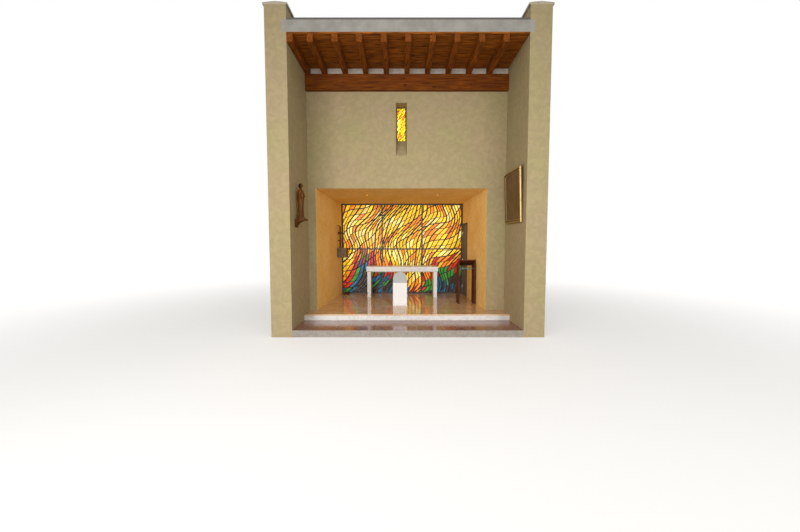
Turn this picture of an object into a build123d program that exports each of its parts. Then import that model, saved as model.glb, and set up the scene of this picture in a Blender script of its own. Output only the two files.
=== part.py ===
from build123d import *
import math
import os

os.makedirs("parts", exist_ok=True)

# The altar end of a small chapel: the end wall with its altar recess, slot window and
# side door, the raised platform, short returns of the side walls and the timber ceiling.
# X runs across the nave, Y from the nave towards the window, Z up from the ground.

# Nave shell
nave_width = 5000
wall_thickness = 450
return_length = 1600
floor_depth = 150
plate_underside_height = 5620

# Ceiling, roof and copings
plate_height = 390
plate_depth = 300
plate_proud = 110
plate_arris = 14
joist_width = 122
joist_height = 165
joist_pitch = 505
joist_arris = 6
board_thickness = 30
slab_thickness = 240
slab_bearing = 100
covering_thickness = 40
parapet_height = 300
coping_overhang = 30
coping_edge = 42
coping_ridge = 66
drip_width = 12
drip_depth = 8
drip_inset = 8

# Altar recess, off the nave's centre between a slim left pier and a wider right one
opening_height = 3250
left_pier_width = 200
right_pier_width = 470
window_distance = 3080
left_narrowing = 170
right_narrowing = 100
soffit_fall = 92
recess_wall = 300
recess_slab = 250
recess_eaves = 60
sheet_thickness = 12
sheet_drop = 55

# Platform
platform_rise = 147
platform_depth = 550
tread_thickness = 30
tread_overhang = 12
riser_thickness = 30

# Leaded window and slot window
window_bar = 45
window_bar_depth = 60
window_reveal = 160
window_columns = 3
window_rows = 2
glass_thickness = 8
glass_rebate = 12
slot_width = 280
slot_sill_height = 4070
slot_head_height = 5350
slot_glass_distance = 350
slot_glass_sill_height = 4490
slot_glass_width = 235
slot_bar = 18
slot_bar_depth = 40
slot_glass_rebate = 6

# Side door
door_window_gap = 30
door_opening_width = 900
door_opening_height = 2350
door_post = 45
door_post_depth = 100
door_stop = 15
door_gap = 5
door_floor_gap = 8
leaf_thickness = 45
leaf_arris = 2
hinge_heights = (260, 1140, 2020)
hinge_radius = 8
hinge_pin_radius = 4
hinge_play = 0.3
hinge_half_height = 45
hinge_pin_height = 34
hinge_offset = 10
hinge_flap_width = 16
handle_height = 1050
handle_setback = 60
handle_plate_radius = 26
handle_plate_thickness = 8
handle_neck_radius = 9
handle_reach = 38
handle_lever_length = 120
handle_lever_height = 20
handle_lever_thickness = 12

# Altar
altar_window_gap = 230
altar_width = 2240
altar_depth = 700
altar_height = 970
altar_slab = 167
altar_slab_chamfer = 22
altar_leg = 110
altar_leg_setback = 60

# Fittings in the recess
tabernacle_candle_gap = 88
tabernacle_size = 300
tabernacle_base_height = 1253
tabernacle_door_margin = 28
tabernacle_door_recess = 8
tabernacle_knob_radius = 11
cross_height = 700
cross_width = 360
cross_bar = 62
cross_thickness = 34
cross_arm_height = 470
cross_standoff = 60
cross_peg_radius = 12
candle_wall_gap = 71
candle_window_gap = 118
candle_height = 1410
candle_foot_radius = 112
candle_foot_height = 95
candle_stem_radius = 9
candle_pan_radius = 46
candle_radius = 26
candle_length = 120
lectern_wall_gap = 20
lectern_distance = 940
lectern_width = 470
lectern_depth = 380
lectern_height = 1250
lectern_board = 32
lectern_slope = 22
lectern_shelf_height = 1010
lectern_ledge = 30
shelf_thickness = 22
stand_offset = -70
stand_distance = 770
stand_width = 390
stand_height = 620
stand_thickness = 60
stand_foot_depth = 240
stand_foot_height = 36
stand_panel_height = 920
stand_panel_thickness = 22
lamp_radius = 52
lamp_bore_radius = 38
lamp_depth = 14
lamp_bore_depth = 9
lamp_spacing = 1990
front_lamp_distance = 1050
rear_lamp_distance = 2450

# Statue on its bracket, and the framed picture
statue_distance = 1100
statue_base_height = 2420
statue_height = 790
statue_width = 210
statue_body_depth = 170
statue_standoff = 20
statue_head_radius = 54
statue_neck_overlap = 14
statue_elbow_height = 458
statue_elbow_spread = 88
statue_hands_height = 521
statue_sleeve_radius = 21
robe_sides = 14
sleeve_sides = 8
bracket_width = 280
bracket_depth = 230
bracket_shelf = 36
bracket_height = 190
picture_distance = 775
picture_width = 1250
picture_height = 1240
picture_base_height = 2330
picture_lean = 2
frame_moulding = 92
frame_moulding_depth = 58
frame_rabbet = 14
picture_thickness = 12

# Levels above the ground
floor_level = floor_depth
platform_level = floor_level + platform_rise
opening_top = floor_level + opening_height
plate_bottom = floor_level + plate_underside_height
plate_top = plate_bottom + plate_height
board_bottom = plate_top + joist_height
slab_bottom = board_bottom + board_thickness
slab_top = slab_bottom + slab_thickness
parapet_top = slab_top + parapet_height
slot_sill = floor_level + slot_sill_height
slot_head = floor_level + slot_head_height
slot_glass_sill = floor_level + slot_glass_sill_height

# Lines across and along the plan; the origin is below the middle of the whole piece
half_nave = nave_width / 2
outer_x = half_nave + wall_thickness
recess_length = window_distance + window_bar_depth + window_reveal
total_depth = return_length + recess_length + recess_eaves + sheet_thickness
front = -total_depth / 2
face = front + return_length
outer_face = face + wall_thickness
plate_bearing = plate_depth - plate_proud
opening_left = -half_nave + left_pier_width
opening_right = half_nave - right_pier_width
opening_centre = (opening_left + opening_right) / 2
window_left = opening_left + left_narrowing
window_right = opening_right - right_narrowing
recess_centre = (window_left + window_right) / 2
window_y = face + window_distance
recess_end = face + recess_length
recess_outer_left = opening_left - recess_wall
recess_outer_right = opening_right + recess_wall
door_end = window_y - door_window_gap
door_y = door_end - door_opening_width
slot_glass_y = face + slot_glass_distance
lean_of_soffit = math.atan2(soffit_fall, window_distance)

# The recess soffit falls towards the window
soffit_plane = Plane(
    origin=(0, face, opening_top),
    x_dir=(1, 0, 0),
    z_dir=(0, math.sin(lean_of_soffit), math.cos(lean_of_soffit)),
)

# The left recess wall's face: x along the wall, y up from the platform, z into the recess
left_splay = math.atan2(left_narrowing, window_distance)
left_recess_face = Plane(
    origin=(opening_left, face, platform_level),
    x_dir=(math.sin(left_splay), math.cos(left_splay), 0),
    z_dir=(math.cos(left_splay), -math.sin(left_splay), 0),
)

left_mitre = Plane(
    origin=(-outer_x - coping_overhang, outer_face + coping_overhang, parapet_top),
    x_dir=(0, 0, 1),
    z_dir=(1, 1, 0),
)
right_mitre = Plane(
    origin=(outer_x + coping_overhang, outer_face + coping_overhang, parapet_top),
    x_dir=(0, 0, 1),
    z_dir=(-1, 1, 0),
)


def soffit_height(y):
    """Height of the recess soffit at a place along Y."""
    return opening_top - (y - face) * soffit_fall / window_distance


def left_edge(y):
    """X of the left face of the recess, which narrows all the way to the window."""
    return opening_left + (y - face) * left_narrowing / window_distance


def right_edge(y):
    """X of the right face of the recess, which narrows as far as the side door."""
    share = min((y - face) / (door_y - face), 1)
    return opening_right - share * right_narrowing


# Floors: the nave floor, and the raised platform that runs on into the recess
with BuildPart() as nave_floor:
    with BuildSketch(Plane.XY):
        with Locations((0, front)):
            Rectangle(nave_width, return_length, align=(Align.CENTER, Align.MIN))
    extrude(amount=floor_level)

nave_floor.part.label = "nave_floor"
export_step(nave_floor.part, "parts/nave_floor.step")

with BuildPart() as platform_riser:
    with BuildSketch(Plane.XY.offset(floor_level)):
        with Locations((0, face - platform_depth)):
            Rectangle(nave_width, riser_thickness, align=(Align.CENTER, Align.MIN))
    extrude(amount=platform_rise - tread_thickness)

platform_riser.part.label = "platform_riser"
export_step(platform_riser.part, "parts/platform_riser.step")

with BuildPart() as platform_floor:
    with BuildSketch(Plane.YZ.offset(-half_nave)):
        with BuildLine():
            Polyline(
                (face, floor_level),
                (face, platform_level),
                (face - platform_depth - tread_overhang, platform_level),
                (face - platform_depth - tread_overhang, platform_level - tread_thickness),
                (face - platform_depth + riser_thickness, platform_level - tread_thickness),
                (face - platform_depth + riser_thickness, floor_level),
                close=True,
            )
        make_face()
    extrude(amount=nave_width)

platform_floor.part.label = "platform_floor"
export_step(platform_floor.part, "parts/platform_floor.step")

with BuildPart() as recess_floor:
    with BuildSketch(Plane.XY):
        with BuildLine():
            Polyline(
                (left_edge(face), face),
                (right_edge(face), face),
                (right_edge(door_y), door_y),
                (recess_outer_right, door_y),
                (recess_outer_right, door_end),
                (window_right, door_end),
                (window_right, recess_end),
                (window_left, recess_end),
                (window_left, window_y),
                close=True,
            )
        make_face()
    extrude(amount=platform_level)

recess_floor.part.label = "recess_floor"
export_step(recess_floor.part, "parts/recess_floor.step")

# Side walls of the nave, pocketed for the roof slab
with BuildPart() as left_side_wall:
    with BuildSketch(Plane.XY):
        with Locations((-half_nave, front)):
            Rectangle(wall_thickness, outer_face - front, align=(Align.MAX, Align.MIN))
    extrude(amount=parapet_top)
    with BuildSketch(Plane.XY.offset(slab_bottom)):
        with Locations((-half_nave, front)):
            Rectangle(slab_bearing, return_length + plate_bearing, align=(Align.MAX, Align.MIN))
    extrude(amount=slab_thickness, mode=Mode.SUBTRACT)

left_side_wall.part.label = "left_side_wall"
export_step(left_side_wall.part, "parts/left_side_wall.step")

with BuildPart() as right_side_wall:
    mirror(left_side_wall.part, about=Plane.YZ)

right_side_wall.part.label = "right_side_wall"
export_step(right_side_wall.part, "parts/right_side_wall.step")

# End wall: a pier each side of the recess and one wall over it
with BuildPart() as end_wall_left_pier:
    with BuildSketch(Plane.XY):
        with BuildLine():
            Polyline(
                (-half_nave, face),
                (left_edge(face), face),
                (left_edge(outer_face), outer_face),
                (-half_nave, outer_face),
                close=True,
            )
        make_face()
    extrude(amount=opening_top)
    split(bisect_by=soffit_plane, keep=Keep.BOTTOM)

end_wall_left_pier.part.label = "end_wall_left_pier"
export_step(end_wall_left_pier.part, "parts/end_wall_left_pier.step")

with BuildPart() as end_wall_right_pier:
    with BuildSketch(Plane.XY):
        with BuildLine():
            Polyline(
                (right_edge(face), face),
                (half_nave, face),
                (half_nave, outer_face),
                (right_edge(outer_face), outer_face),
                close=True,
            )
        make_face()
    extrude(amount=opening_top)
    split(bisect_by=soffit_plane, keep=Keep.BOTTOM)

end_wall_right_pier.part.label = "end_wall_right_pier"
export_step(end_wall_right_pier.part, "parts/end_wall_right_pier.step")

with BuildPart() as end_wall_upper:
    with BuildSketch(Plane.XY.offset(opening_top - soffit_fall)):
        with Locations((0, face)):
            Rectangle(nave_width, wall_thickness, align=(Align.CENTER, Align.MIN))
    extrude(amount=parapet_top - opening_top + soffit_fall)
    split(bisect_by=soffit_plane, keep=Keep.TOP)
    # Rebate for the wall plate, the joist ends and the roof slab
    with BuildSketch(Plane.XY.offset(plate_bottom)):
        with Locations((0, face)):
            Rectangle(nave_width, plate_bearing, align=(Align.CENTER, Align.MIN))
    extrude(amount=slab_top - plate_bottom, mode=Mode.SUBTRACT)
    # Slot window: its reveals narrow and its sill climbs towards the glass
    with BuildSketch(Plane.XZ.offset(-face)):
        with Locations((opening_centre, slot_sill)):
            Rectangle(slot_width, slot_head - slot_sill, align=(Align.CENTER, Align.MIN))
    with BuildSketch(Plane.XZ.offset(-slot_glass_y)):
        with Locations((opening_centre, slot_glass_sill)):
            Rectangle(slot_glass_width, slot_head - slot_glass_sill, align=(Align.CENTER, Align.MIN))
    loft(mode=Mode.SUBTRACT)
    with BuildSketch(Plane.XZ.offset(-slot_glass_y)):
        with Locations((opening_centre, slot_glass_sill)):
            Rectangle(slot_glass_width, slot_head - slot_glass_sill, align=(Align.CENTER, Align.MIN))
    extrude(amount=slot_glass_y - outer_face, mode=Mode.SUBTRACT)

end_wall_upper.part.label = "end_wall_upper"
export_step(end_wall_upper.part, "parts/end_wall_upper.step")

# Recess walls, split beside and over the side door
with BuildPart() as recess_left_wall:
    with BuildSketch(Plane.XY):
        with BuildLine():
            Polyline(
                (recess_outer_left, outer_face),
                (left_edge(outer_face), outer_face),
                (window_left, window_y),
                (window_left, recess_end),
                (recess_outer_left, recess_end),
                close=True,
            )
        make_face()
    extrude(amount=opening_top)
    split(bisect_by=soffit_plane, keep=Keep.BOTTOM)

recess_left_wall.part.label = "recess_left_wall"
export_step(recess_left_wall.part, "parts/recess_left_wall.step")

with BuildPart() as recess_right_wall:
    with BuildSketch(Plane.XY):
        with BuildLine():
            Polyline(
                (right_edge(outer_face), outer_face),
                (recess_outer_right, outer_face),
                (recess_outer_right, door_y),
                (right_edge(door_y), door_y),
                close=True,
            )
        make_face()
    extrude(amount=opening_top)
    split(bisect_by=soffit_plane, keep=Keep.BOTTOM)

recess_right_wall.part.label = "recess_right_wall"
export_step(recess_right_wall.part, "parts/recess_right_wall.step")

door_top = platform_level + door_opening_height

with BuildPart() as wall_over_door:
    with BuildSketch(Plane.XY.offset(door_top)):
        with Locations((window_right, door_y)):
            Rectangle(recess_outer_right - window_right, door_opening_width, align=Align.MIN)
    extrude(amount=opening_top - door_top)
    split(bisect_by=soffit_plane, keep=Keep.BOTTOM)

wall_over_door.part.label = "wall_over_door"
export_step(wall_over_door.part, "parts/wall_over_door.step")

with BuildPart() as recess_corner_pier:
    with BuildSketch(Plane.XY):
        with Locations((window_right, door_end)):
            Rectangle(recess_outer_right - window_right, recess_end - door_end, align=Align.MIN)
    extrude(amount=opening_top)
    split(bisect_by=soffit_plane, keep=Keep.BOTTOM)

recess_corner_pier.part.label = "recess_corner_pier"
export_step(recess_corner_pier.part, "parts/recess_corner_pier.step")

# Roof of the recess: a slab laid to the fall of the soffit under folded sheet metal
eaves_end = recess_end + recess_eaves
eaves_left = recess_outer_left - recess_eaves
eaves_right = recess_outer_right + recess_eaves

with BuildPart() as recess_roof_slab:
    with BuildSketch(Plane.YZ.offset(eaves_left)):
        with BuildLine():
            Polyline(
                (outer_face, soffit_height(outer_face)),
                (eaves_end, soffit_height(eaves_end)),
                (eaves_end, soffit_height(eaves_end) + recess_slab),
                (outer_face, soffit_height(outer_face) + recess_slab),
                close=True,
            )
        make_face()
    extrude(amount=eaves_right - eaves_left)

recess_roof_slab.part.label = "recess_roof_slab"
export_step(recess_roof_slab.part, "parts/recess_roof_slab.step")

sheet_end = eaves_end + sheet_thickness

with BuildPart() as recess_roof_sheet:
    with BuildSketch(Plane.YZ.offset(eaves_left - sheet_thickness)):
        with BuildLine():
            Polyline(
                (outer_face, soffit_height(outer_face) + recess_slab - sheet_drop),
                (sheet_end, soffit_height(sheet_end) + recess_slab - sheet_drop),
                (sheet_end, soffit_height(sheet_end) + recess_slab + sheet_thickness),
                (outer_face, soffit_height(outer_face) + recess_slab + sheet_thickness),
                close=True,
            )
        make_face()
    extrude(amount=eaves_right - eaves_left + 2 * sheet_thickness)
    add(recess_roof_slab.part, mode=Mode.SUBTRACT)

recess_roof_sheet.part.label = "recess_roof_sheet"
export_step(recess_roof_sheet.part, "parts/recess_roof_sheet.step")

# Timber ceiling: wall plate, joists, plaster between their ends, boards
with BuildPart() as wall_plate:
    with BuildSketch(Plane.YZ.offset(-half_nave)):
        with Locations((face - plate_proud, plate_bottom)):
            Rectangle(plate_depth, plate_height, align=Align.MIN)
    extrude(amount=nave_width)
    fillet(wall_plate.edges().filter_by(Axis.X).group_by(Axis.Y)[0], radius=plate_arris)

wall_plate.part.label = "wall_plate"
export_step(wall_plate.part, "parts/wall_plate.step")

joists_each_side = int((half_nave - joist_width) // joist_pitch)
joist_centres = [-half_nave + joist_width / 2]
joist_centres += [n * joist_pitch for n in range(-joists_each_side, joists_each_side + 1)]

with BuildPart() as ceiling_joists:
    with BuildSketch(Plane.XY.offset(plate_top)):
        with Locations([(x, front) for x in joist_centres]):
            Rectangle(joist_width, return_length + plate_bearing, align=(Align.CENTER, Align.MIN))
    extrude(amount=joist_height)
    chamfer(ceiling_joists.edges().filter_by(Axis.Y).group_by(Axis.Z)[0], length=joist_arris)

ceiling_joists.part.label = "ceiling_joists"
export_step(ceiling_joists.part, "parts/ceiling_joists.step")

with BuildPart() as joist_infill:
    bay_ends = joist_centres[1:] + [half_nave + joist_width / 2]
    with BuildSketch(Plane.XY.offset(plate_top)):
        for left, right in zip(joist_centres, bay_ends):
            with Locations((left + joist_width / 2, face)):
                Rectangle(right - left - joist_width, plate_bearing, align=Align.MIN)
    extrude(amount=joist_height)

joist_infill.part.label = "joist_infill"
export_step(joist_infill.part, "parts/joist_infill.step")

with BuildPart() as ceiling_boards:
    with BuildSketch(Plane.XY.offset(board_bottom)):
        with Locations((0, front)):
            Rectangle(nave_width, return_length + plate_bearing, align=(Align.CENTER, Align.MIN))
    extrude(amount=board_thickness)

ceiling_boards.part.label = "ceiling_boards"
export_step(ceiling_boards.part, "parts/ceiling_boards.step")

# Flat roof between parapets
with BuildPart() as roof_slab:
    with BuildSketch(Plane.XY.offset(slab_bottom)):
        with Locations((0, front)):
            Rectangle(
                nave_width + 2 * slab_bearing,
                return_length + plate_bearing,
                align=(Align.CENTER, Align.MIN),
            )
    extrude(amount=slab_thickness)

roof_slab.part.label = "roof_slab"
export_step(roof_slab.part, "parts/roof_slab.step")

with BuildPart() as roof_covering:
    with BuildSketch(Plane.XY.offset(slab_top)):
        with Locations((0, front)):
            Rectangle(nave_width, return_length, align=(Align.CENTER, Align.MIN))
    extrude(amount=covering_thickness)

roof_covering.part.label = "roof_covering"
export_step(roof_covering.part, "parts/roof_covering.step")

# Saddle-backed copings with drip grooves, mitred at the corners
coping_width = wall_thickness + 2 * coping_overhang
with BuildSketch() as coping_profile:
    with BuildLine():
        Polyline(
            (-coping_width / 2, 0),
            (coping_width / 2, 0),
            (coping_width / 2, coping_edge),
            (0, coping_ridge),
            (-coping_width / 2, coping_edge),
            close=True,
        )
    make_face()
    with Locations(
        (-coping_width / 2 + drip_inset + drip_width / 2, 0),
        (coping_width / 2 - drip_inset - drip_width / 2, 0),
    ):
        Rectangle(drip_width, 2 * drip_depth, mode=Mode.SUBTRACT)

with BuildPart() as left_coping:
    coping_start = Plane(
        origin=(-half_nave - wall_thickness / 2, front, parapet_top),
        x_dir=(-1, 0, 0),
        z_dir=(0, 1, 0),
    )
    with BuildSketch(coping_start):
        add(coping_profile.sketch)
    extrude(amount=outer_face + coping_overhang - front)
    split(bisect_by=left_mitre, keep=Keep.BOTTOM)

left_coping.part.label = "left_coping"
export_step(left_coping.part, "parts/left_coping.step")

with BuildPart() as right_coping:
    mirror(left_coping.part, about=Plane.YZ)

right_coping.part.label = "right_coping"
export_step(right_coping.part, "parts/right_coping.step")

with BuildPart() as end_coping:
    coping_start = Plane(
        origin=(-outer_x - coping_overhang, face + wall_thickness / 2, parapet_top),
        x_dir=(0, 1, 0),
        z_dir=(1, 0, 0),
    )
    with BuildSketch(coping_start):
        add(coping_profile.sketch)
    extrude(amount=2 * (outer_x + coping_overhang))
    split(bisect_by=left_mitre, keep=Keep.TOP)
    split(bisect_by=right_mitre, keep=Keep.TOP)

end_coping.part.label = "end_coping"
export_step(end_coping.part, "parts/end_coping.step")

# Leaded window: a steel frame grooved for the edges of six panels
window_width = window_right - window_left
window_height = soffit_height(window_y + window_bar_depth) - platform_level
window_centre = (recess_centre, platform_level + window_height / 2)
light_width = (window_width - (window_columns + 1) * window_bar) / window_columns
light_height = (window_height - (window_rows + 1) * window_bar) / window_rows
light_pitch = (light_width + window_bar, light_height + window_bar)
panel_size = (light_width + 2 * glass_rebate, light_height + 2 * glass_rebate)
panel_y = window_y + (window_bar_depth - glass_thickness) / 2

with BuildPart() as window_panels:
    with BuildSketch(Plane.XZ.offset(-panel_y)):
        with Locations(window_centre):
            with GridLocations(*light_pitch, window_columns, window_rows):
                Rectangle(*panel_size)
    extrude(amount=-glass_thickness)

window_panels.part.label = "window_panels"
export_step(window_panels.part, "parts/window_panels.step")

with BuildPart() as window_frame:
    with BuildSketch(Plane.XZ.offset(-window_y)):
        with Locations(window_centre):
            Rectangle(window_width, window_height)
            with GridLocations(*light_pitch, window_columns, window_rows):
                Rectangle(light_width, light_height, mode=Mode.SUBTRACT)
    extrude(amount=-window_bar_depth)
    add(window_panels.part, mode=Mode.SUBTRACT)

window_frame.part.label = "window_frame"
export_step(window_frame.part, "parts/window_frame.step")

# Slot window, set in the straight outer part of its reveal
slot_light_height = slot_head - slot_glass_sill
slot_centre = (opening_centre, slot_glass_sill + slot_light_height / 2)
slot_panel_y = slot_glass_y + (slot_bar_depth - glass_thickness) / 2
slot_rim = 2 * (slot_bar - slot_glass_rebate)

with BuildPart() as slot_glass:
    with BuildSketch(Plane.XZ.offset(-slot_panel_y)):
        with Locations(slot_centre):
            Rectangle(slot_glass_width - slot_rim, slot_light_height - slot_rim)
    extrude(amount=-glass_thickness)

slot_glass.part.label = "slot_glass"
export_step(slot_glass.part, "parts/slot_glass.step")

with BuildPart() as slot_frame:
    with BuildSketch(Plane.XZ.offset(-slot_glass_y)):
        with Locations(slot_centre):
            Rectangle(slot_glass_width, slot_light_height)
            Rectangle(
                slot_glass_width - 2 * slot_bar,
                slot_light_height - 2 * slot_bar,
                mode=Mode.SUBTRACT,
            )
    extrude(amount=-slot_bar_depth)
    add(slot_glass.part, mode=Mode.SUBTRACT)

slot_frame.part.label = "slot_frame"
export_step(slot_frame.part, "parts/slot_frame.step")

# Side door: rebated steel frame, flush leaf that opens into the recess, lift-off hinges
leaf_pocket_depth = leaf_thickness + door_gap
door_centre_y = door_y + door_opening_width / 2

with BuildPart() as side_door_frame:
    with BuildSketch(Plane.YZ.offset(window_right)):
        with Locations((door_centre_y, platform_level)):
            Rectangle(door_opening_width, door_opening_height, align=(Align.CENTER, Align.MIN))
            Rectangle(
                door_opening_width - 2 * door_post,
                door_opening_height - door_post,
                align=(Align.CENTER, Align.MIN),
                mode=Mode.SUBTRACT,
            )
    extrude(amount=leaf_pocket_depth)
    with BuildSketch(Plane.YZ.offset(window_right + leaf_pocket_depth)):
        with Locations((door_centre_y, platform_level)):
            Rectangle(door_opening_width, door_opening_height, align=(Align.CENTER, Align.MIN))
            Rectangle(
                door_opening_width - 2 * (door_post + door_stop),
                door_opening_height - door_post - door_stop,
                align=(Align.CENTER, Align.MIN),
                mode=Mode.SUBTRACT,
            )
    extrude(amount=door_post_depth - leaf_pocket_depth)

side_door_frame.part.label = "side_door_frame"
export_step(side_door_frame.part, "parts/side_door_frame.step")

leaf_width = door_opening_width - 2 * (door_post + door_gap)
leaf_height = door_opening_height - door_post - door_gap - door_floor_gap
leaf_bottom = platform_level + door_floor_gap

with BuildPart() as side_door_leaf:
    with BuildSketch(Plane.YZ.offset(window_right)):
        with Locations((door_centre_y, leaf_bottom)):
            Rectangle(leaf_width, leaf_height, align=(Align.CENTER, Align.MIN))
    extrude(amount=leaf_thickness)
    chamfer(side_door_leaf.edges().filter_by(Axis.Z), length=leaf_arris)

side_door_leaf.part.label = "side_door_leaf"
export_step(side_door_leaf.part, "parts/side_door_leaf.step")

# Each hinge turns on a pin in the gap between leaf and post, just proud of both
hinge_x = window_right - hinge_offset
hinge_y = door_centre_y + leaf_width / 2 + door_gap / 2

with BuildPart() as door_hinge_pins:
    for height in hinge_heights:
        with BuildSketch(Plane.XY.offset(leaf_bottom + height - hinge_half_height)):
            with Locations((hinge_x, hinge_y)):
                Circle(hinge_radius)
                Rectangle(hinge_offset, hinge_flap_width, align=Align.MIN)
        extrude(amount=hinge_half_height)
        with BuildSketch(Plane.XY.offset(leaf_bottom + height)):
            with Locations((hinge_x, hinge_y)):
                Circle(hinge_pin_radius)
        extrude(amount=hinge_pin_height)

door_hinge_pins.part.label = "door_hinge_pins"
export_step(door_hinge_pins.part, "parts/door_hinge_pins.step")

with BuildPart() as door_hinge_barrels:
    for height in hinge_heights:
        with BuildSketch(Plane.XY.offset(leaf_bottom + height + hinge_play)):
            with Locations((hinge_x, hinge_y)):
                Circle(hinge_radius)
                Rectangle(hinge_offset, hinge_flap_width, align=(Align.MIN, Align.MAX))
        extrude(amount=hinge_half_height)
        with BuildSketch(Plane.XY.offset(leaf_bottom + height + hinge_play)):
            with Locations((hinge_x, hinge_y)):
                Circle(hinge_pin_radius + hinge_play)
        extrude(amount=hinge_pin_height, mode=Mode.SUBTRACT)

door_hinge_barrels.part.label = "door_hinge_barrels"
export_step(door_hinge_barrels.part, "parts/door_hinge_barrels.step")

handle_y = door_centre_y - leaf_width / 2 + handle_setback
handle_z = leaf_bottom + handle_height

with BuildPart() as side_door_handles:
    sides = ((window_right, -1), (window_right + leaf_thickness, 1))
    for leaf_face, outward in sides:
        with BuildSketch(Plane.YZ.offset(leaf_face)):
            with Locations((handle_y, handle_z)):
                Circle(handle_plate_radius)
        extrude(amount=outward * handle_plate_thickness)
        with BuildSketch(Plane.YZ.offset(leaf_face + outward * handle_plate_thickness)):
            with Locations((handle_y, handle_z)):
                Circle(handle_neck_radius)
        extrude(amount=outward * handle_reach)
        with BuildSketch(Plane.YZ.offset(leaf_face + outward * (handle_plate_thickness + handle_reach))):
            with Locations((handle_y - handle_neck_radius, handle_z)):
                Rectangle(handle_lever_length, handle_lever_height, align=(Align.MIN, Align.CENTER))
        extrude(amount=outward * handle_lever_thickness)

side_door_handles.part.label = "side_door_handles"
export_step(side_door_handles.part, "parts/side_door_handles.step")

# Altar: a thick marble slab on two slab legs
altar_front = window_y - altar_window_gap - altar_depth
altar_slab_bottom = platform_level + altar_height - altar_slab

with BuildPart() as altar_table:
    with BuildSketch(Plane.XY.offset(altar_slab_bottom)):
        with Locations((recess_centre, altar_front)):
            Rectangle(altar_width, altar_depth, align=(Align.CENTER, Align.MIN))
    extrude(amount=altar_slab)
    chamfer(altar_table.faces().sort_by(Axis.Z)[0].edges(), length=altar_slab_chamfer)

altar_table.part.label = "altar_table"
export_step(altar_table.part, "parts/altar_table.step")

leg_spacing = altar_width - 2 * altar_slab_chamfer - altar_leg

with BuildPart() as altar_legs:
    with BuildSketch(Plane.XY.offset(platform_level)):
        with Locations((recess_centre, altar_front + altar_depth / 2)):
            with GridLocations(leg_spacing, 0, 2, 1):
                Rectangle(altar_leg, altar_depth - 2 * altar_leg_setback)
    extrude(amount=altar_height - altar_slab)

altar_legs.part.label = "altar_legs"
export_step(altar_legs.part, "parts/altar_legs.step")

# Tabernacle on the left recess wall, with a cross on the wall above it
candle_y = window_y - candle_window_gap - candle_foot_radius
candle_x = left_edge(candle_y) + candle_wall_gap + candle_foot_radius
tabernacle_y = candle_y - candle_foot_radius - tabernacle_candle_gap - tabernacle_size / 2
tabernacle_distance = (tabernacle_y - face) / math.cos(left_splay)
tabernacle_middle = tabernacle_base_height + tabernacle_size / 2
tabernacle_door = tabernacle_size - 2 * tabernacle_door_margin

with BuildPart() as tabernacle:
    with BuildSketch(left_recess_face):
        with Locations((tabernacle_distance, tabernacle_middle)):
            Rectangle(tabernacle_size, tabernacle_size)
    extrude(amount=tabernacle_size)
    with BuildSketch(left_recess_face.offset(tabernacle_size)):
        with Locations((tabernacle_distance, tabernacle_middle)):
            Rectangle(tabernacle_door, tabernacle_door)
    extrude(amount=-tabernacle_door_recess, mode=Mode.SUBTRACT)
    knob_place = tabernacle_distance - tabernacle_door / 2 + 3 * tabernacle_knob_radius
    with BuildSketch(left_recess_face.offset(tabernacle_size - tabernacle_door_recess)):
        with Locations((knob_place, tabernacle_middle)):
            Circle(tabernacle_knob_radius)
    extrude(amount=tabernacle_door_recess + tabernacle_knob_radius)

tabernacle.part.label = "tabernacle"
export_step(tabernacle.part, "parts/tabernacle.step")

cross_base = tabernacle_base_height + tabernacle_size

with BuildPart() as wall_cross:
    with BuildSketch(left_recess_face.offset(cross_standoff)):
        with Locations((tabernacle_distance, cross_base)):
            Rectangle(cross_bar, cross_height, align=(Align.CENTER, Align.MIN))
        with Locations((tabernacle_distance, cross_base + cross_arm_height)):
            Rectangle(cross_width, cross_bar)
    extrude(amount=cross_thickness)
    # Two pegs hold it off the wall
    with BuildSketch(left_recess_face):
        with Locations((tabernacle_distance, cross_base + cross_arm_height)):
            with GridLocations(0, cross_arm_height, 1, 2):
                Circle(cross_peg_radius)
    extrude(amount=cross_standoff)

wall_cross.part.label = "wall_cross"
export_step(wall_cross.part, "parts/wall_cross.step")

# Candle stand: turned foot, slim stem, pan and candle
pan_level = candle_height - candle_length

with BuildPart() as candle_stand:
    stand_axis = Plane(origin=(candle_x, candle_y, platform_level), z_dir=(0, -1, 0), x_dir=(1, 0, 0))
    with BuildSketch(stand_axis):
        with BuildLine():
            Polyline(
                (0, 0),
                (candle_foot_radius, 0),
                (candle_foot_radius, candle_foot_height / 8),
                (candle_stem_radius, candle_foot_height),
                (candle_stem_radius, pan_level - candle_pan_radius / 2),
                (candle_pan_radius, pan_level - candle_pan_radius / 4),
                (candle_pan_radius, pan_level),
                (0, pan_level),
                close=True,
            )
        make_face()
    revolve(axis=Axis((candle_x, candle_y, platform_level), (0, 0, 1)))

candle_stand.part.label = "candle_stand"
export_step(candle_stand.part, "parts/candle_stand.step")

with BuildPart() as altar_candle:
    with BuildSketch(Plane.XY.offset(platform_level + pan_level)):
        with Locations((candle_x, candle_y)):
            Circle(candle_radius)
    extrude(amount=candle_length)

altar_candle.part.label = "altar_candle"
export_step(altar_candle.part, "parts/altar_candle.step")

# Lectern: two side boards, a sloping desk with a ledge, and a glass shelf between them
lectern_front = face + lectern_distance
lectern_rise = lectern_depth * math.tan(math.radians(lectern_slope))
lectern_inside = lectern_width - 2 * lectern_board
lectern_back = lectern_front + lectern_depth
desk_low = platform_level + lectern_height - lectern_board - lectern_rise
lectern_right = right_edge(lectern_back + lectern_ledge) - lectern_wall_gap
lectern_x = lectern_right - lectern_width / 2

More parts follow.
